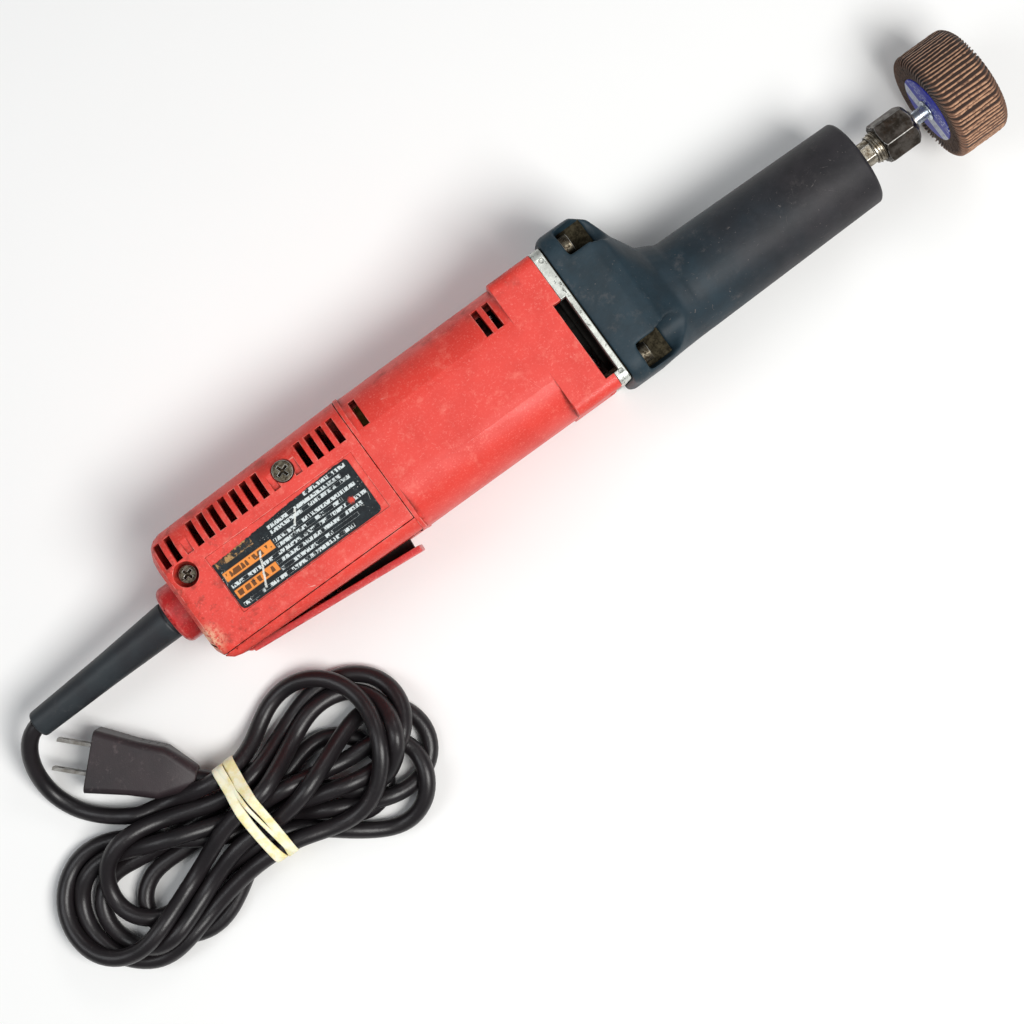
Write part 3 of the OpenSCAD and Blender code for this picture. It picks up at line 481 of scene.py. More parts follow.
def label_material():
    """A worn dark rating plate: rows of pale greeked strokes and three orange bars, no letters."""
    p = Paint("label_film", rough=0.5)
    p.shader.inputs["Specular IOR Level"].default_value = 0.25
    in_row, row_id = 0.0, 0.0
    for k, (y, x0, x1) in enumerate(LABEL_ROWS):
        row = p.product(p.box(p.y, (y - 0.85) * MM, (y + 0.85) * MM, .0001),
                        p.box(p.x, x0 * MM, x1 * MM, .0002))
        in_row = p.math("MAXIMUM", in_row, row)
        row_id = p.math("ADD", row_id, p.math("MULTIPLY", row, 3.7 * (k + 1)))
    masks = [p.product(p.box(p.x, x0 * MM, x1 * MM, .0002), p.box(p.y, y0 * MM, y1 * MM, .0002))
             for x0, x1, y0, y1, _ in LABEL_BARS]
    any_bar = p.math("MAXIMUM", p.math("MAXIMUM", masks[0], masks[1]), masks[2])

    def greek(across, along, offset, detail):
        """Noise drawn out upright, for strokes that stand in a row."""
        spot = p.node("CombineXYZ")
        p.wire(p.math("MULTIPLY", p.x, across), spot.inputs[0])
        p.wire(p.math("MULTIPLY", p.y, along), spot.inputs[1])
        p.wire(offset, spot.inputs[2])
        strokes = p.node("TexNoise")
        p.wire(spot.outputs[0], strokes.inputs["Vector"])
        strokes.inputs["Scale"].default_value = 1.0
        strokes.inputs["Detail"].default_value = detail
        return strokes.outputs[0]

    ink = p.product(in_row, p.step(greek(1500.0, 520.0, row_id, 1.0), 0.43, 0.49),
                    p.step(greek(190.0, 0.0, row_id, 0.0), 0.36, 0.39), p.math("SUBTRACT", 1.0, any_bar))
    worn = p.step(p.noise(.0075, 5, 0.7), 0.68, 0.56)
    dark = p.mix(p.step(p.noise(.004, 5, 0.7), 0.4, 0.7), linear(15, 21, 26), linear(32, 41, 45))
    colour = p.mix(p.product(ink, worn, 0.9), dark, linear(214, 222, 222))
    strokes = p.step(greek(640.0, 170.0, 0.0, 0.0), 0.47, 0.51)
    for k, (mask, (x0, x1, y0, y1, paint)) in enumerate(zip(masks, LABEL_BARS)):
        strip = p.product(p.box(p.y, (y0 + 0.75) * MM, (y1 - 0.75) * MM, .0001),
                          p.box(p.x, (x0 + 1) * MM, (x1 - 1) * MM, .0001), strokes)
        face = p.mix(p.product(strip, 0.85), linear(*paint), linear(52, 36, 26))
        low, high = (0.58, 0.48) if k == 0 else (0.7, 0.62)
        colour = p.mix(p.product(mask, p.step(p.noise(.004, 5, 0.75), low, high)), colour, face)
    flecks = p.product(p.step(p.noise(.0009, 4, 0.7), 0.62, 0.68), p.step(p.noise(.009, 3), 0.5, 0.62))
    scratch = flecks
    for turn in (20, 75, 130):
        line = p.product(p.step(p.noise(.0008, 3, 0.6, (20, 1, 1), (0, 0, turn), 0.5), 0.68, 0.72),
                         p.step(p.noise(.013, 2), 0.5, 0.6))
        scratch = p.math("MAXIMUM", scratch, line)
    for end, far in (((-66.5, -14.5), (-60.0, -0.5)), ((-42.0, -0.5), (-38.0, 5.0))):
        scratch = p.math("MAXIMUM", scratch, p.scored(end, far, .00045))
    colour = p.mix(p.product(scratch, 0.8), colour, linear(222, 224, 218))
    bare = p.product(p.near((-.0171, -.0059, .0697), .0022), p.step(p.noise(.0009, 3), 0.4, 0.5))
    colour = p.mix(bare, colour, linear(206, 70, 56))
    p.bump((p.noise(.0011, 3), .00003), (p.math("MAXIMUM", ink, scratch), .00004))
    return p.done(colour, p.blend(scratch, 0.46, 0.65))


def wheel_label_material():
    """The flap wheel's paper ring: a pale band across blue, with greeked strokes."""
    p = Paint("wheel_paper", rough=0.45)
    v = p.math("ADD", p.math("MULTIPLY", p.math("SUBTRACT", p.y, SPINDLE_Y), 0.13),
               p.math("SUBTRACT", p.z, AXIS_Z))
    band = p.box(v, -.0082, -.0012, .0003)
    spot = p.node("CombineXYZ")
    p.wire(p.math("MULTIPLY", p.y, 800.0), spot.inputs[0])
    p.wire(p.math("FLOOR", p.math("MULTIPLY", v, 380.0)), spot.inputs[1])
    marks = p.node("TexNoise")
    p.wire(spot.outputs[0], marks.inputs["Vector"])
    marks.inputs["Scale"].default_value = 1.0
    marks.inputs["Detail"].default_value = 1.0
    inside = p.box(p.math("FRACT", p.math("MULTIPLY", v, 380.0)), 0.3, 0.75, 0.08)
    ink = p.product(p.step(marks.outputs[0], 0.48, 0.53), inside)
    blue = p.mix(p.noise(.004, 4), linear(22, 30, 176), linear(34, 44, 150))
    pale = p.mix(p.noise(.003, 4), linear(206, 210, 218), linear(176, 182, 196))
    colour = p.mix(band, blue, pale)
    mark = p.mix(band, linear(206, 214, 232), linear(86, 92, 132))
    far = p.product(ink, p.math("MAXIMUM", p.box(v, .0035, .0095, .0003), p.product(band, 0.8)))
    colour = p.mix(p.product(far, 0.8), colour, mark)
    rubbed = p.product(p.step(p.noise(.002, 5, 0.7), 0.56, 0.68), 0.5)
    colour = p.mix(rubbed, colour, linear(120, 104, 96))
    p.bump((p.noise(.0006, 3), .00002))
    return p.done(colour, p.blend(p.noise(.002, 3), 0.35, 0.6))


def flap_material():
    """Abrasive cloth: brown grit on the faces and a paler tan along the worn outer edges, with painted
    shade in the gaps: a dark colour on the pack and on the leaves deeper in, and darker still where the
    leaves close up.
    """
    p = Paint("abrasive_cloth", rough=0.92)
    p.shader.inputs["Sheen Weight"].default_value = 0.15
    yy = p.math("SUBTRACT", p.y, SPINDLE_Y)
    zz = p.math("SUBTRACT", p.z, AXIS_Z)
    r = p.math("SQRT", p.math("ADD", p.math("MULTIPLY", yy, yy), p.math("MULTIPLY", zz, zz)))
    grit = p.noise(.0004, 3, 0.7)
    # gap_shade: painted shade, the dark colour of the pack between the leaves and of the leaves deeper in
    gap_shade = p.mix(grit, linear(34, 23, 18), linear(58, 39, 30))
    face = p.mix(grit, linear(84, 58, 45), linear(118, 84, 66))
    rim = p.node("Attribute", attribute_name="rim").outputs["Fac"]
    colour = p.mix(p.product(p.step(rim, 0.02, 0.25), p.step(r, .021, .0244)), gap_shade, face)
    tan = p.mix(p.noise(.0012, 3), linear(204, 160, 128), linear(168, 124, 96))
    edge = p.product(p.step(rim, 0.3, 1.0), p.step(p.noise(.0016, 4, 0.7), 0.3, 0.55))
    colour = p.mix(edge, colour, tan)
    # painted shade in the narrow gaps between the leaves, from ambient occlusion
    colour = p.mix(p.product(p.occlusion_mask(.002, 0.7, 0.2), 0.75), colour, linear(24, 15, 12))
    p.bump((grit, .00008), (p.noise(.002, 3), .00015))
    return p.done(colour)


def band_material():
    """Cream rubber, yellower in patches, with painted shade where the strands touch each other and the
    cords.
    """
    p = Paint("band_rubber", rough=0.55)
    p.shader.inputs["Subsurface Weight"].default_value = 0.15
    p.shader.inputs["Subsurface Scale"].default_value = .002
    colour = p.mix(p.step(p.noise(.006, 4, 0.6), 0.4, 0.66), linear(250, 243, 214), linear(240, 224, 160))
    # painted shade: darker and yellower where the strands touch, from ambient occlusion
    colour = p.mix(p.product(p.occlusion_mask(.0016), 0.6), colour, linear(196, 160, 92))
    p.bump((p.noise(.0007, 3), .00004))
    return p.done(colour, p.blend(p.noise(.003), 0.45, 0.7))


def plate_material():
    """Die-cast aluminium with dark pits, darkened in its corners with painted shade, and near black low in
    the window as painted shade.
    """
    p = Paint("bearing_plate_metal", metal=0.65)
    p.shader.inputs["Specular IOR Level"].default_value = 0.4
    colour = p.mix(p.step(p.noise(.006, 5, 0.6), 0.35, 0.7), linear(214, 217, 210), linear(172, 174, 168))
    pits = p.product(p.step(p.noise(.0022, 6, 0.75), 0.57, 0.66), 0.85)
    # dirt_and_shade: real pits, and painted shade in the corners from ambient occlusion
    dirt_and_shade = p.math("MAXIMUM", pits, p.product(p.occlusion_mask(.0014), 0.7))
    colour = p.mix(dirt_and_shade, colour, linear(62, 58, 50))
    # painted shade: near black on the plate low in the window, across the window's width
    recess_shade = p.product(p.step(p.z, .0665, .0625), p.box(p.y, -.0290, .0290, .001), 0.96)
    colour = p.mix(recess_shade, colour, linear(20, 17, 15))
    p.bump((p.noise(.0006, 3, 0.6), .00005), (pits, -.0001))
    return p.done(colour, p.blend(p.math("MAXIMUM", pits, recess_shade), 0.42, 0.9))


def boot_material():
    """Moulded rubber: blue-black near the plate, browner along the grip, with pale scuffs."""
    p = Paint("boot_rubber")
    p.shader.inputs["Specular IOR Level"].default_value = 0.3
    wander = p.product(p.math("SUBTRACT", p.noise(.03, 3), 0.5), .08)
    along = p.step(p.math("ADD", p.x, wander), .125, .215)
    base = p.mix(p.step(p.noise(.018, 5, 0.65), 0.35, 0.68), linear(31, 50, 60), linear(25, 40, 48))
    grip = p.mix(p.step(p.noise(.02, 5, 0.65), 0.35, 0.68), linear(47, 45, 48), linear(34, 33, 36))
    colour = p.mix(along, base, grip)
    patch = p.step(p.noise(.008, 7, 0.75), 0.52, 0.72)
    patch = p.product(patch, p.step(p.noise(.035, 2), 0.42, 0.62), 0.32)
    marks = [
        p.product(p.step(p.noise(.0013, 4, 0.6, (14, 1, 1), (0, tilt, turn), 0.9), 0.67, 0.73),
                  p.step(p.noise(.016, 3), 0.53, 0.62), 0.8)
        for tilt, turn in ((0, 20), (10, 70), (-10, 140))
    ]
    scuff = p.math("MAXIMUM", p.math("MAXIMUM", marks[0], marks[1]), p.math("MAXIMUM", marks[2], patch))
    specks = p.product(p.step(p.noise(.0013, 3, 0.7), 0.685, 0.73), 0.7)
    colour = p.mix(p.math("MAXIMUM", scuff, specks), colour, linear(112, 106, 104))
    p.bump((p.noise(.00065, 3, 0.6), .00005), (p.noise(.012, 4), .0003), (marks[1], -.0001))
    return p.done(colour, p.blend(scuff, 0.56, 0.78))


LOOKS = {
    "red_plastic": red_plastic("housing_plastic", (220, 61, 49), (208, 51, 39), 0.46, 1.0, 0.9),
    "collar_plastic": red_plastic("collar_plastic", (196, 34, 34), (182, 26, 28), 0.3, 0.4, 0.6),
    "paddle_plastic": red_plastic("paddle_plastic", (205, 46, 46), (188, 36, 36), 0.36, 0.8, 0.7),
    "black_rubber": rubber("relief_rubber", (40, 46, 50), (34, 36, 40), (92, 92, 92), 0.5, dust=0.35),
    "boot_rubber": boot_material(),
    "cord_rubber": rubber("cord_rubber", (31, 27, 29), (23, 21, 23), (92, 86, 86), 0.36, .0009, .00006,
                          0.3),
    "plug_rubber": rubber("plug_rubber", (43, 33, 36), (33, 27, 30), (108, 96, 96), 0.5, .0006, .00006,
                          0.5, plug_grooves),
    "band_rubber": band_material(),
    "label_film": label_material(),
    "blue_paper": wheel_label_material(),
    "abrasive_cloth": flap_material(),
    "plate_metal": plate_material(),
    "black_plastic": plain("switch_plastic", (26, 26, 27), (18, 18, 19), 0.45),
    "fan_plastic": plain("fan_plastic", (13, 13, 14), (22, 20, 19), 0.85),
    "pad_rubber": plain("pad_rubber", (30, 15, 14), (19, 11, 11), 0.85),
    "white_plastic": plain("holder_plastic", (206, 202, 188), (184, 180, 166), 0.5),
    "zinc_steel": metal("zinc_steel", (206, 214, 222), (150, 160, 170), 0.22, 0.15, .003, (1, 8, 8)),
    "screw_steel": metal("screw_steel", (112, 106, 92), (44, 38, 30), 0.42, 0.85, .0016),
    "bearing_steel": metal("bearing_steel", (190, 192, 194), (150, 152, 154), 0.25, 0.1),
    "gear_steel": metal("gear_steel", (150, 148, 144), (110, 106, 100), 0.35, 0.3),
    "spindle_steel": metal("spindle_steel", (190, 184, 170), (104, 92, 74), 0.3, 0.6, .0022),
    "nut_steel": metal("nut_steel", (104, 98, 92), (52, 46, 40), 0.36, 0.55, .005, rub=0.4),
    "case_metal": metal("case_metal", (66, 61, 48), (44, 40, 31), 0.6, 0.5, .0018, oxide=(30, 25, 17),
                        rub=0.2),
    "laminations": metal("laminations", (120, 118, 114), (84, 80, 76), 0.5, 0.4, .003, (1, 40, 40)),
    "copper": plain("copper_wire", (176, 92, 52), (142, 66, 36), 0.35, 0.9, .002, .0005, .0001),
    "brass": plain("brass", (200, 164, 92), (170, 134, 70), 0.3, 0.95, .002),
    "carbon": plain("carbon", (34, 34, 36), (22, 22, 24), 0.6),
    "wheel_resin": plain("wheel_resin", (88, 52, 34), (60, 36, 26), 0.7),
    "wire_cover": plain("wire_cover", (30, 30, 32), (52, 48, 46), 0.5),
}


# ---------------------------------------------------------------- shapes from the frame
def finish_mesh(bm, name, sharp=50):
    """The built shape as a smooth mesh whose edges stay sharp above an angle (degrees)."""
    mesh = bpy.data.meshes.new(name)
    bm.to_mesh(mesh)
    bm.free()
    mesh.polygons.foreach_set("use_smooth", [True] * len(mesh.polygons))
    if sharp:
        mesh.set_sharp_from_angle(angle=math.radians(sharp))
    return mesh


def piece(name, mesh, body, look, stands_for=(), weighted=True):
    """A visual piece on a body, with its material and slot, in place of the CAD nodes it stands for."""
    o = bpy.data.objects.new(name, mesh)
    scene.collection.objects.link(o)
    mesh.materials.clear()
    mesh.materials.append(LOOKS[look])
    if weighted:
        flat = o.modifiers.new("flat", "WEIGHTED_NORMAL")
        flat.keep_sharp = True
    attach(o, body)
    if stands_for:
        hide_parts(*stands_for)
    return o


def welded(node):
    """A CAD node's mesh, with its facets joined at their corners."""
    bm = bmesh.new()
    bm.from_mesh(cad[node].data)
    bmesh.ops.remove_doubles(bm, verts=bm.verts[:], dist=3e-6)
    return bm


def flat_region(start):
    """The faces that lie in one plane with this one and join up with it."""
    region, queue = {start}, [start]
    while queue:
        for edge in queue.pop().edges:
            for face in edge.link_faces:
                off = (face.verts[0].co - start.verts[0].co).dot(start.normal)
                if face not in region and face.normal.dot(start.normal) > 0.99999 and abs(off) < 3e-6:
                    region.add(face)
                    queue.append(face)
    return region


def refill(bm):
    """Divides every flat region with a many-cornered face afresh, from the region's outline.

    Known faults: some edges of the housing and the cover stay open, some triangles face the wrong
    way, and the sets have no fixed order, so the triangles are not quite the same on every run."""
    bm.normal_update()
    seen, regions = set(), []
    for face in bm.faces:
        if len(face.verts) > 4 and face not in seen:
            region = flat_region(face)
            seen |= region
            regions.append((region, face.normal.copy()))
    for region, normal in regions:
        rim = {e for f in region for e in f.edges if sum(g in region for g in e.link_faces) == 1}
        bmesh.ops.delete(bm, geom=list(region), context="FACES_KEEP_BOUNDARY")
        outline = [e for e in rim if e.is_valid]
        filled = bmesh.ops.triangle_fill(bm, edges=outline, use_beauty=True, normal=normal)
        for part in filled["geom"]:
            if isinstance(part, bmesh.types.BMFace):
                part.normal_update()
                if part.normal.dot(normal) < 0:
                    part.normal_flip()


def refine(node, width, look, angle=28, edit=None, name=None):
    """A CAD node with its outer edges rounded by width (mm) and marked for wear, which stands for it."""
    bm = welded(node)
    if edit:
        edit(bm)
    bmesh.ops.dissolve_limit(bm, angle_limit=math.radians(0.7), use_dissolve_boundaries=False,
                             verts=bm.verts[:], edges=bm.edges[:])
    bm.normal_update()
    limit = math.radians(angle)
    edges = [e for e in bm.edges if len(e.link_faces) == 2 and e.calc_face_angle_signed(0.0) > limit]
    made = bmesh.ops.bevel(bm, geom=edges, offset=width * MM, offset_type="OFFSET", segments=2,
                           profile=0.5, affect="EDGES", clamp_overlap=False, loop_slide=True)
    rounded = set(made["faces"])
    wear = bm.verts.layers.float.new("wear")
    for v in bm.verts:
        v[wear] = float(bool(v.link_faces) and all(f in rounded for f in v.link_faces))
    refill(bm)
    mesh = finish_mesh(bm, node + "_fine")
    return piece(name or node + "_fine", mesh, body_of[node], look, (node,))


refine("motor_housing", 0.4, "red_plastic")
refine("rear_cover", 0.35, "red_plastic")
refine("cord_collar", 0.9, "collar_plastic")
refine("strain_relief", 0.6, "black_rubber")
refine("paddle_lever", 0.5, "paddle_plastic")
refine("bearing_plate", 0.35, "plate_metal")
refine("cover_screws", 0.25, "screw_steel")
refine("case_screws", 0.25, "screw_steel")
refine("collet_nut", 0.35, "nut_steel")
refine("wheel_shank", 0.3, "zinc_steel")
refine("plug_body", 0.8, "plug_rubber")


# the boot's round grip (m): where it joins the soft part, and its radius at each end of its taper
GRIP_X = 0.152
GRIP_R = (0.02165, 0.0200)
GRIP_ENDS = (0.150, 0.2388)
BLEND_X = 0.147


def cut(bm, x, keep_front):
    """Keeps the part of the mesh on one side of a plane across X."""
    bmesh.ops.bisect_plane(bm, geom=bm.verts[:] + bm.edges[:] + bm.faces[:], plane_co=(x, 0, 0),
                           plane_no=(1, 0, 0), clear_inner=keep_front, clear_outer=not keep_front)


def boot():
    """The nose boot: its square end remeshed and eased like moulded rubber, its grip as drawn."""
    o = bpy.data.objects.new("boot_cells", finish_mesh(welded("boot"), "boot_cells", 0))
    scene.collection.objects.link(o)
    cells = o.modifiers.new("cells", "REMESH")
    cells.mode, cells.voxel_size = "VOXEL", 0.8 * MM
    ease = o.modifiers.new("ease", "SMOOTH")
    ease.factor, ease.iterations = 0.5, 10
    made = bpy.data.meshes.new_from_object(o.evaluated_get(bpy.context.evaluated_depsgraph_get()))
    bpy.data.objects.remove(o)
    soft = bmesh.new()
    soft.from_mesh(made)
    cut(soft, GRIP_X + .0005, False)
    for v in soft.verts:
        y, z = v.co.y - SPINDLE_Y, v.co.z - AXIS_Z
        r = math.hypot(y, z)
        if v.co.x > BLEND_X and r > .0195:
            taper = (v.co.x - GRIP_ENDS[0]) / (GRIP_ENDS[1] - GRIP_ENDS[0])
            true_r = GRIP_R[0] + (GRIP_R[1] - GRIP_R[0]) * max(taper, 0)
            k = 1 + (true_r / r - 1) * min((v.co.x - BLEND_X) / .004, 1)
            v.co.y, v.co.z = SPINDLE_Y + y * k, AXIS_Z + z * k
    grip = welded("boot")
    cut(grip, GRIP_X, True)
    rim = [e for e in grip.edges if len(e.link_faces) == 2 and e.calc_face_angle(0.0) > math.radians(28)]
    bmesh.ops.bevel(grip, geom=rim, offset=0.5 * MM, offset_type="OFFSET", segments=3, profile=0.5,
                    affect="EDGES", clamp_overlap=False)
    joined = bpy.data.meshes.new("grip_end")
    grip.to_mesh(joined)
    grip.free()
    soft.from_mesh(joined)
    piece("boot_fine", finish_mesh(soft, "boot_fine", 60), "housing", "boot_rubber", stands_for=("boot",),
          weighted=False)


boot()


# ---------------------------------------------------------------- rib under the paddle
RIB_Z = (.0168, .0192)
RIB_PLAN = [(-82, -27.5), (-82, -30.2), (-79, -31.4), (-47, -33.9), (-44.4, -33.2), (-43.6, -30.5),
            (-43.6, -27.5)]


def paddle_rib():
    """A low rib on the cover's side, just under the paddle, that closes the gap behind the lever."""
    bm = bmesh.new()
    low = [bm.verts.new((x * MM, y * MM, RIB_Z[0])) for x, y in RIB_PLAN]
    high = [bm.verts.new((x * MM, y * MM, RIB_Z[1])) for x, y in RIB_PLAN]
    bm.faces.new(high)
    bm.faces.new(low[::-1])
    for k in range(len(RIB_PLAN)):
        n = (k + 1) % len(RIB_PLAN)
        bm.faces.new((low[k], low[n], high[n], high[k]))
    bmesh.ops.bevel(bm, geom=bm.edges[:], offset=0.5 * MM, offset_type="OFFSET", segments=3, profile=0.5,
                    affect="EDGES", clamp_overlap=True)
    bmesh.ops.recalc_face_normals(bm, faces=bm.faces[:])
    piece("paddle_rib", finish_mesh(bm, "paddle_rib"), "housing", "red_plastic")


paddle_rib()


# ---------------------------------------------------------------- rating label
LABEL_Z = (.0694, .0697)
LABEL_EDGE = [(-79.5, 5.8), (-79.5, -14.7), (-78.9, -16.1), (-77.5, -16.7), (-11, -16.7), (-9.6, -16.1),
              (-9, -14.7), (-9, 8.4), (-9.8, 9.5)]
TORN_EDGE = [(-9.8, 9.5), (-15, 9.7), (-45, 8), (-60, 7), (-79.5, 5.8)]


def rating_label():
    """The label with its square corners rounded and its upper edge torn."""
    random.seed(3)
    outline = list(LABEL_EDGE)
    for (x0, y0), (x1, y1) in zip(TORN_EDGE, TORN_EDGE[1:]):
        count = max(int(math.hypot(x1 - x0, y1 - y0) / 0.7), 1)
        outline += [(x0 + (x1 - x0) * k / count, y0 + (y1 - y0) * k / count - random.uniform(0, 0.35))
                    for k in range(1, count)]
    bm = bmesh.new()
    low = [bm.verts.new((x * MM, y * MM, LABEL_Z[0])) for x, y in outline]
    high = [bm.verts.new((x * MM, y * MM, LABEL_Z[1])) for x, y in outline]
    bm.faces.new(high)
    bm.faces.new(low[::-1])
    for k in range(len(outline)):
        n = (k + 1) % len(outline)
        bm.faces.new((low[k], low[n], high[n], high[k]))
    piece("rating_label_fine", finish_mesh(bm, "rating_label_fine", 30), "housing", "label_film",
          stands_for=("rating_label",), weighted=False)


rating_label()


# ---------------------------------------------------------------- flap wheel
WHEEL_X = 277.5
FLAP_R = 25.4
FLAPS = 78
PACK_R = 17.0
HUB_R = 9.5
# axial ends of a flap (mm from the wheel's rear face) at each radius
FLAP_ENDS = [
    (14.5, 0.4, 25.0), (18, 0.3, 25.4), (20.4, 0.15, 25.35), (22.4, 0.0, 24.95), (23.6, 0.25, 24.2),
    (24.5, 0.9, 23.2), (25.0, 1.6, 22.3), (25.4, 3.0, 20.6),
]


def flap_leaf(bm, rim, angle, lean, thick, wave, phase):
    """One curved, slightly wavy leaf of cloth with a frayed outer edge."""
    steps = 14
    sheet = {}
    for i, (r, x0, x1) in enumerate(FLAP_ENDS):
        for j in range(steps + 1):
            u = j / steps
            reach = (r - FLAP_ENDS[0][0]) / (FLAP_R - FLAP_ENDS[0][0])
            fray = random.uniform(0, 0.3) if i == len(FLAP_ENDS) - 1 else 0.0
            swing = wave * reach * math.sin(phase + 5.0 * u) + random.uniform(-0.05, 0.05) * reach
            half = thick * (0.46 + 0.14 * reach)
            for side in (-1, 1):
                a = angle + lean * reach ** 1.4 + (swing + side * half) / r
                rr = r - fray
                v = bm.verts.new(((WHEEL_X + x0 + (x1 - x0) * u) * MM, SPINDLE_Y + rr * math.cos(a) * MM,
                                  AXIS_Z + rr * math.sin(a) * MM))
                v[rim] = 1.0 if i == len(FLAP_ENDS) - 1 else 0.5 if j in (0, steps) else 0.3
                sheet[i, j, side] = v
    last = len(FLAP_ENDS) - 1
    for i in range(last):
        for j in range(steps):
            quad = [(i, j), (i, j + 1), (i + 1, j + 1), (i + 1, j)]
            bm.faces.new([sheet[a, b, 1] for a, b in quad])
            bm.faces.new([sheet[a, b, -1] for a, b in reversed(quad)])
    for j in range(steps):
        for i, flip in ((0, 1), (last, -1)):
            edge = ((i, j, -flip), (i, j + 1, -flip), (i, j + 1, flip), (i, j, flip))
            bm.faces.new([sheet[corner] for corner in edge])
    for i in range(last):
        for j, flip in ((0, 1), (steps, -1)):
            end = ((i, j, flip), (i + 1, j, flip), (i + 1, j, -flip), (i, j, -flip))
            bm.faces.new([sheet[corner] for corner in end])


def flap_wheel():
    """The pack of leaves, unevenly spread, with the pack that holds their inner ends, which shows between
    the leaves in the painted gap shade.
    """
    random.seed(11)
    bm = bmesh.new()
    rim = bm.verts.layers.float.new("rim")
    steps = [random.uniform(0.88, 1.12) * (1.25 if k % 9 == 4 else 1.0) for k in range(FLAPS)]
    total = sum(steps)
    turned = 0.0
    for width in steps:
        turned += 2 * math.pi * width / total
        flap_leaf(bm, rim, turned, 0.24 + random.uniform(-.012, .012), 0.5, random.uniform(0.05, 0.22),
                  random.uniform(0, 6.3))
    # the pack reaches close under the leaves' tips, so that its painted shade fills the gaps between them
    spokes = 3 * FLAPS
    profile = [(HUB_R, 0.4), (PACK_R, 0.45), (PACK_R + 3, 0.9), (23.0, 0.8), (24.1, 1.2), (24.85, 2.3),
               (24.85, 21.9), (24.1, 23.1), (23.0, 24.0), (PACK_R + 3, 24.6), (PACK_R, 25.1), (HUB_R, 24.0)]
    rings = []
    for k in range(spokes):
        a = 2 * math.pi * k / spokes
        notch = 0.35 if k % 3 == 0 else 0.0
        rings.append([
            bm.verts.new(((WHEEL_X + x + (notch if x < 12 else -notch)) * MM,
                          SPINDLE_Y + r * math.cos(a + 0.03 * (r - HUB_R)) * MM,
                          AXIS_Z + r * math.sin(a + 0.03 * (r - HUB_R)) * MM)) for r, x in profile])
    for k in range(spokes):
        here, there = rings[k], rings[(k + 1) % spokes]
        for i in range(len(profile)):
            j = (i + 1) % len(profile)
            bm.faces.new((here[i], there[i], there[j], here[j]))
    bmesh.ops.recalc_face_normals(bm, faces=bm.faces[:])
    piece("wheel_flaps_fine", finish_mesh(bm, "wheel_flaps_fine", 40), "flap_wheel", "abrasive_cloth",
          stands_for=("wheel_flaps",), weighted=False)


flap_wheel()


# ---------------------------------------------------------------- spindle thread
THREAD_X = (248.3, 260.6)
THREAD_R = (6.5, 6.98)
THREAD_PITCH = 1.25


def narrow_thread(bm):
    """Takes the threaded end of the spindle down to the root of its thread."""
    for v in bm.verts:
        y, z = v.co.y - SPINDLE_Y, v.co.z - AXIS_Z
        r = math.hypot(y, z) / MM
        if r > 6.9:
            k = THREAD_R[0] / r
            v.co.y, v.co.z = SPINDLE_Y + y * k, AXIS_Z + z * k


def spindle_thread():
    """A helical ridge of pointed section on the spindle's end."""
    bm = bmesh.new()
    around = 40
    turns = (THREAD_X[1] - THREAD_X[0] - 1) / THREAD_PITCH
    count = int(turns * around)
    root, crest = THREAD_R[0] - 0.15, THREAD_R[1]
    section = [(-0.45, root), (-0.08, crest), (0.08, crest), (0.45, root)]
    rows = []
    for k in range(count + 1):
        a = 2 * math.pi * k / around
        fade = min(1.0, k / 12, (count - k) / 12)
        x0 = THREAD_X[0] + 0.5 + THREAD_PITCH * k / around
        row = []
        for x, r in section:
            reach = (root + (r - root) * fade) * MM
            row.append(bm.verts.new(((x0 + x) * MM, SPINDLE_Y + reach * math.cos(a),
                                     AXIS_Z + reach * math.sin(a))))
        rows.append(row)
    for here, there in zip(rows, rows[1:]):
        for i in range(4):
            j = (i + 1) % 4
            bm.faces.new((here[i], here[j], there[j], there[i]))
    bm.faces.new(rows[0][::-1])
    bm.faces.new(rows[-1])
    bmesh.ops.recalc_face_normals(bm, faces=bm.faces[:])
    piece("spindle_thread", finish_mesh(bm, "spindle_thread", 40), "spindle", "spindle_steel",
          weighted=False)


refine("spindle_shaft", 0.2, "spindle_steel", edit=narrow_thread)
spindle_thread()


# ---------------------------------------------------------------- rubber band on the hank
def outside(a, b, c):
    """Whether the turn from a to b to c is not a left turn."""
    return (b[0] - a[0]) * (c[1] - a[1]) - (b[1] - a[1]) * (c[0] - a[0]) <= 0


@functools.lru_cache(maxsize=None)
def band_loop(x_mm, lift=.0002):
    """The tight outline round the cords near x, in the YZ plane, as points and outward normals."""
    x = WAIST_X + x_mm * MM
    near = fine_route[np.abs(fine_route[:, 0] - x) < .0022][:, 1:]
    turn = np.linspace(0, 2 * math.pi, 24, endpoint=False)
    grown = CORD_D / 2 + lift
    cloud = (near[:, None, :] + grown * np.stack([np.cos(turn), np.sin(turn)], 1)[None]).reshape(-1, 2)
    cloud[:, 1] = np.maximum(cloud[:, 1], .0001)
    order = cloud[np.lexsort((cloud[:, 1], cloud[:, 0]))]
    hull = []
    for sweep in (order, order[::-1]):
        part = []
        for q in sweep:
            while len(part) > 1 and outside(part[-2], part[-1], q):
                part.pop()
            part.append(q)
        hull += part[:-1]
    hull = np.array(hull + hull[:1])
    s = np.append(0, np.cumsum(np.linalg.norm(np.diff(hull, axis=0), axis=1)))
    t = np.linspace(0, s[-1], 121)[:-1]
    ring = np.stack([np.interp(t, s, hull[:, k]) for k in (0, 1)], 1)
    for _ in range(2):
        ring = (np.roll(ring, 1, 0) + 2 * ring + np.roll(ring, -1, 0)) / 4
    start = np.argmin(ring[:, 0])
    ring = np.roll(ring, -start, 0)
    along = np.roll(ring, -1, 0) - np.roll(ring, 1, 0)
    along /= np.linalg.norm(along, axis=1)[:, None]
    return ring, np.stack([along[:, 1], -along[:, 0]], 1)


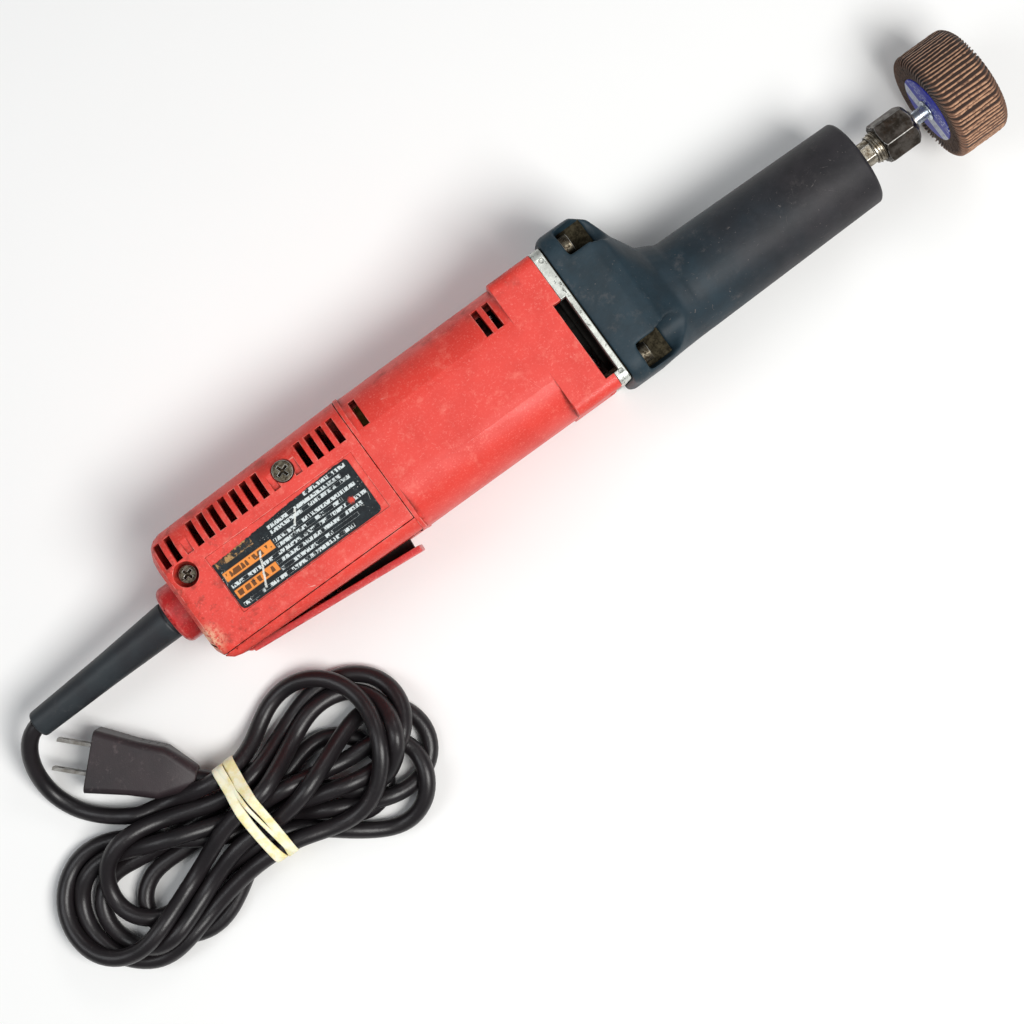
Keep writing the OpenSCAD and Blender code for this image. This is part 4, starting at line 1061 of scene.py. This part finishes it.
def band_strand(bm, path, width, thick, lift=0.0):
    """One flat strand. path gives its x offset (mm) for a place 0..1 from the -Y end over the top."""
    sides = 14
    rings = []
    count = 120
    middle = band_loop(0)[0]
    y_low, y_high = middle[:, 0].min(), middle[:, 0].max()
    for k in range(count):
        place = (middle[k, 0] - y_low) / (y_high - y_low)
        top = min(max((middle[k, 1] - .008) / .010, 0.0), 1.0)
        x_mm = path(place, top)
        low = math.floor(x_mm)
        part = x_mm - low
        (p0, n0), (p1, n1) = band_loop(low), band_loop(low + 1)
        p = p0[k] * (1 - part) + p1[k] * part
        n = n0[k] * (1 - part) + n1[k] * part
        up = max(n[1], 0.0)
        t = thick * (0.62 + 0.38 * up) if n[1] > -0.3 else 0.5
        w = width(place, top)
        loop = []
        for i in range(sides):
            a = 2 * math.pi * i / sides
            dx = math.copysign(abs(math.cos(a)) ** 0.6, math.cos(a)) * w / 2
            dn = math.copysign(abs(math.sin(a)) ** 0.8, math.sin(a)) * t / 2 + t / 2 + lift * up
            loop.append(bm.verts.new((WAIST_X + (x_mm + dx) * MM, p[0] + n[0] * dn * MM,
                                      max(p[1] + n[1] * dn * MM, .0001))))
        rings.append(loop)
    for k in range(count):
        here, there = rings[k], rings[(k + 1) % count]
        for i in range(sides):
            j = (i + 1) % sides
            bm.faces.new((here[i], here[j], there[j], there[i]))


def rubber_band():
    """Two broad strands that part over the middle, and a thin one laid across them."""
    bm = bmesh.new()

    def spread(place):
        """How far the strands part: nothing at the ends, most a third of the way up."""
        return math.sin(math.pi * min(max(place, 0.0) / 0.74, 1.0)) ** 0.7

    band_strand(bm, path=lambda s, top: -2.9 - 1.5 * spread(s) * top,
                width=lambda s, top: 5.6 - 1.2 * spread(s) * top, thick=1.2)
    band_strand(bm, path=lambda s, top: 2.5 + 1.1 * spread(s) * top,
                width=lambda s, top: 5.4 - 1.6 * spread(s) * top, thick=1.1)
    band_strand(bm, path=lambda s, top: (2.2 - 4.6 * s) * top,
                width=lambda s, top: 2.6 - 0.8 * top, thick=0.9, lift=0.5)
    bmesh.ops.recalc_face_normals(bm, faces=bm.faces[:])
    piece("hank_band", finish_mesh(bm, "hank_band", 0), "housing", "band_rubber", stands_for=("cord_tie",),
          weighted=False)


rubber_band()

# CAD nodes that are shown as they are, by material
SHOWN_AS_DRAWN = {
    "black_plastic": ["cord_clamp", "switch_body", "switch_plunger"],
    "screw_steel": ["clamp_screws"],
    "cord_rubber": ["supply_cord"],
    "wire_cover": ["supply_leads", "brush_leads"],
    "zinc_steel": ["paddle_pin", "wheel_rivet"],
    "brass": ["brush_holders"],
    "carbon": ["carbon_brushes"],
    "gear_steel": ["brush_springs", "armature_shaft", "pinion", "spindle_gear", "gear_key", "collet",
        "plug_blades"],
    "bearing_steel": ["rear_bearing", "armature_bearing", "spindle_rear_bearing",
        "spindle_front_bearing"],
    "black_rubber": ["bearing_sleeve", "spindle_seal"],
    "laminations": ["field_core", "armature_core"],
    "copper": ["field_coils", "commutator", "armature_winding"],
    "fan_plastic": ["fan_baffle", "cooling_fan"],
    "case_metal": ["gear_case"],
    "wheel_resin": ["wheel_core"],
    "blue_paper": ["wheel_label"],
    "pad_rubber": ["paddle_pad"],
}
for look, nodes in SHOWN_AS_DRAWN.items():
    for node in nodes:
        cad[node].data.materials.clear()
        cad[node].data.materials.append(LOOKS[look])


# ---------------------------------------------------------------- floor, light
FLOOR = 4.0
floor_mesh = bpy.data.meshes.new("floor")
floor_corners = [(-FLOOR, -FLOOR, 0), (FLOOR, -FLOOR, 0), (FLOOR, FLOOR, 0), (-FLOOR, FLOOR, 0)]
floor_mesh.from_pydata(floor_corners, [], [(0, 1, 2, 3)])
floor = bpy.data.objects.new("floor", floor_mesh)
floor.location = (0, 0, -.0001)
scene.collection.objects.link(floor)
floor_paint = Paint("floor", rough=0.9)
floor_tone = floor_paint.mix(floor_paint.noise(.2, 4), linear(244, 244, 243), linear(238, 238, 237))
floor_mesh.materials.append(floor_paint.done(floor_tone))


def softbox(name, place, aim, width, height, watts, tint=(1, 1, 1)):
    """A rectangular area light that faces a point."""
    data = bpy.data.lights.new(name, "AREA")
    data.shape, data.size, data.size_y = "RECTANGLE", width, height
    data.energy, data.color = watts, tint
    o = bpy.data.objects.new(name, data)
    o.location = place
    o.rotation_euler = (Vector(aim) - Vector(place)).to_track_quat("-Z", "Y").to_euler()
    scene.collection.objects.link(o)


softbox("key", (0.28, -0.55, 1.15), (0.03, -0.05, 0), 0.6, 0.6, 15.2, (1.0, 0.99, 0.97))
softbox("fill", (-0.6, 0.3, 0.95), (0, 0.02, 0), 0.5, 0.7, 3.4, (0.95, 0.98, 1.0))
softbox("far", (0.8, 0.5, 0.8), (0.1, 0, 0), 0.5, 0.3, 1.4)
world = bpy.data.worlds.new("studio")
world.use_nodes = True
world.node_tree.nodes["Background"].inputs[0].default_value = (0.92, 0.95, 1.0, 1)
world.node_tree.nodes["Background"].inputs[1].default_value = 0.2
scene.world = world


# ---------------------------------------------------------------- the cord: its material, its body, and the drawn cord hidden
cord_curve.materials.append(LOOKS["cord_rubber"])
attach(cord, "housing")
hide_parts("cord_lead", "cord_hank", "cord_tail")
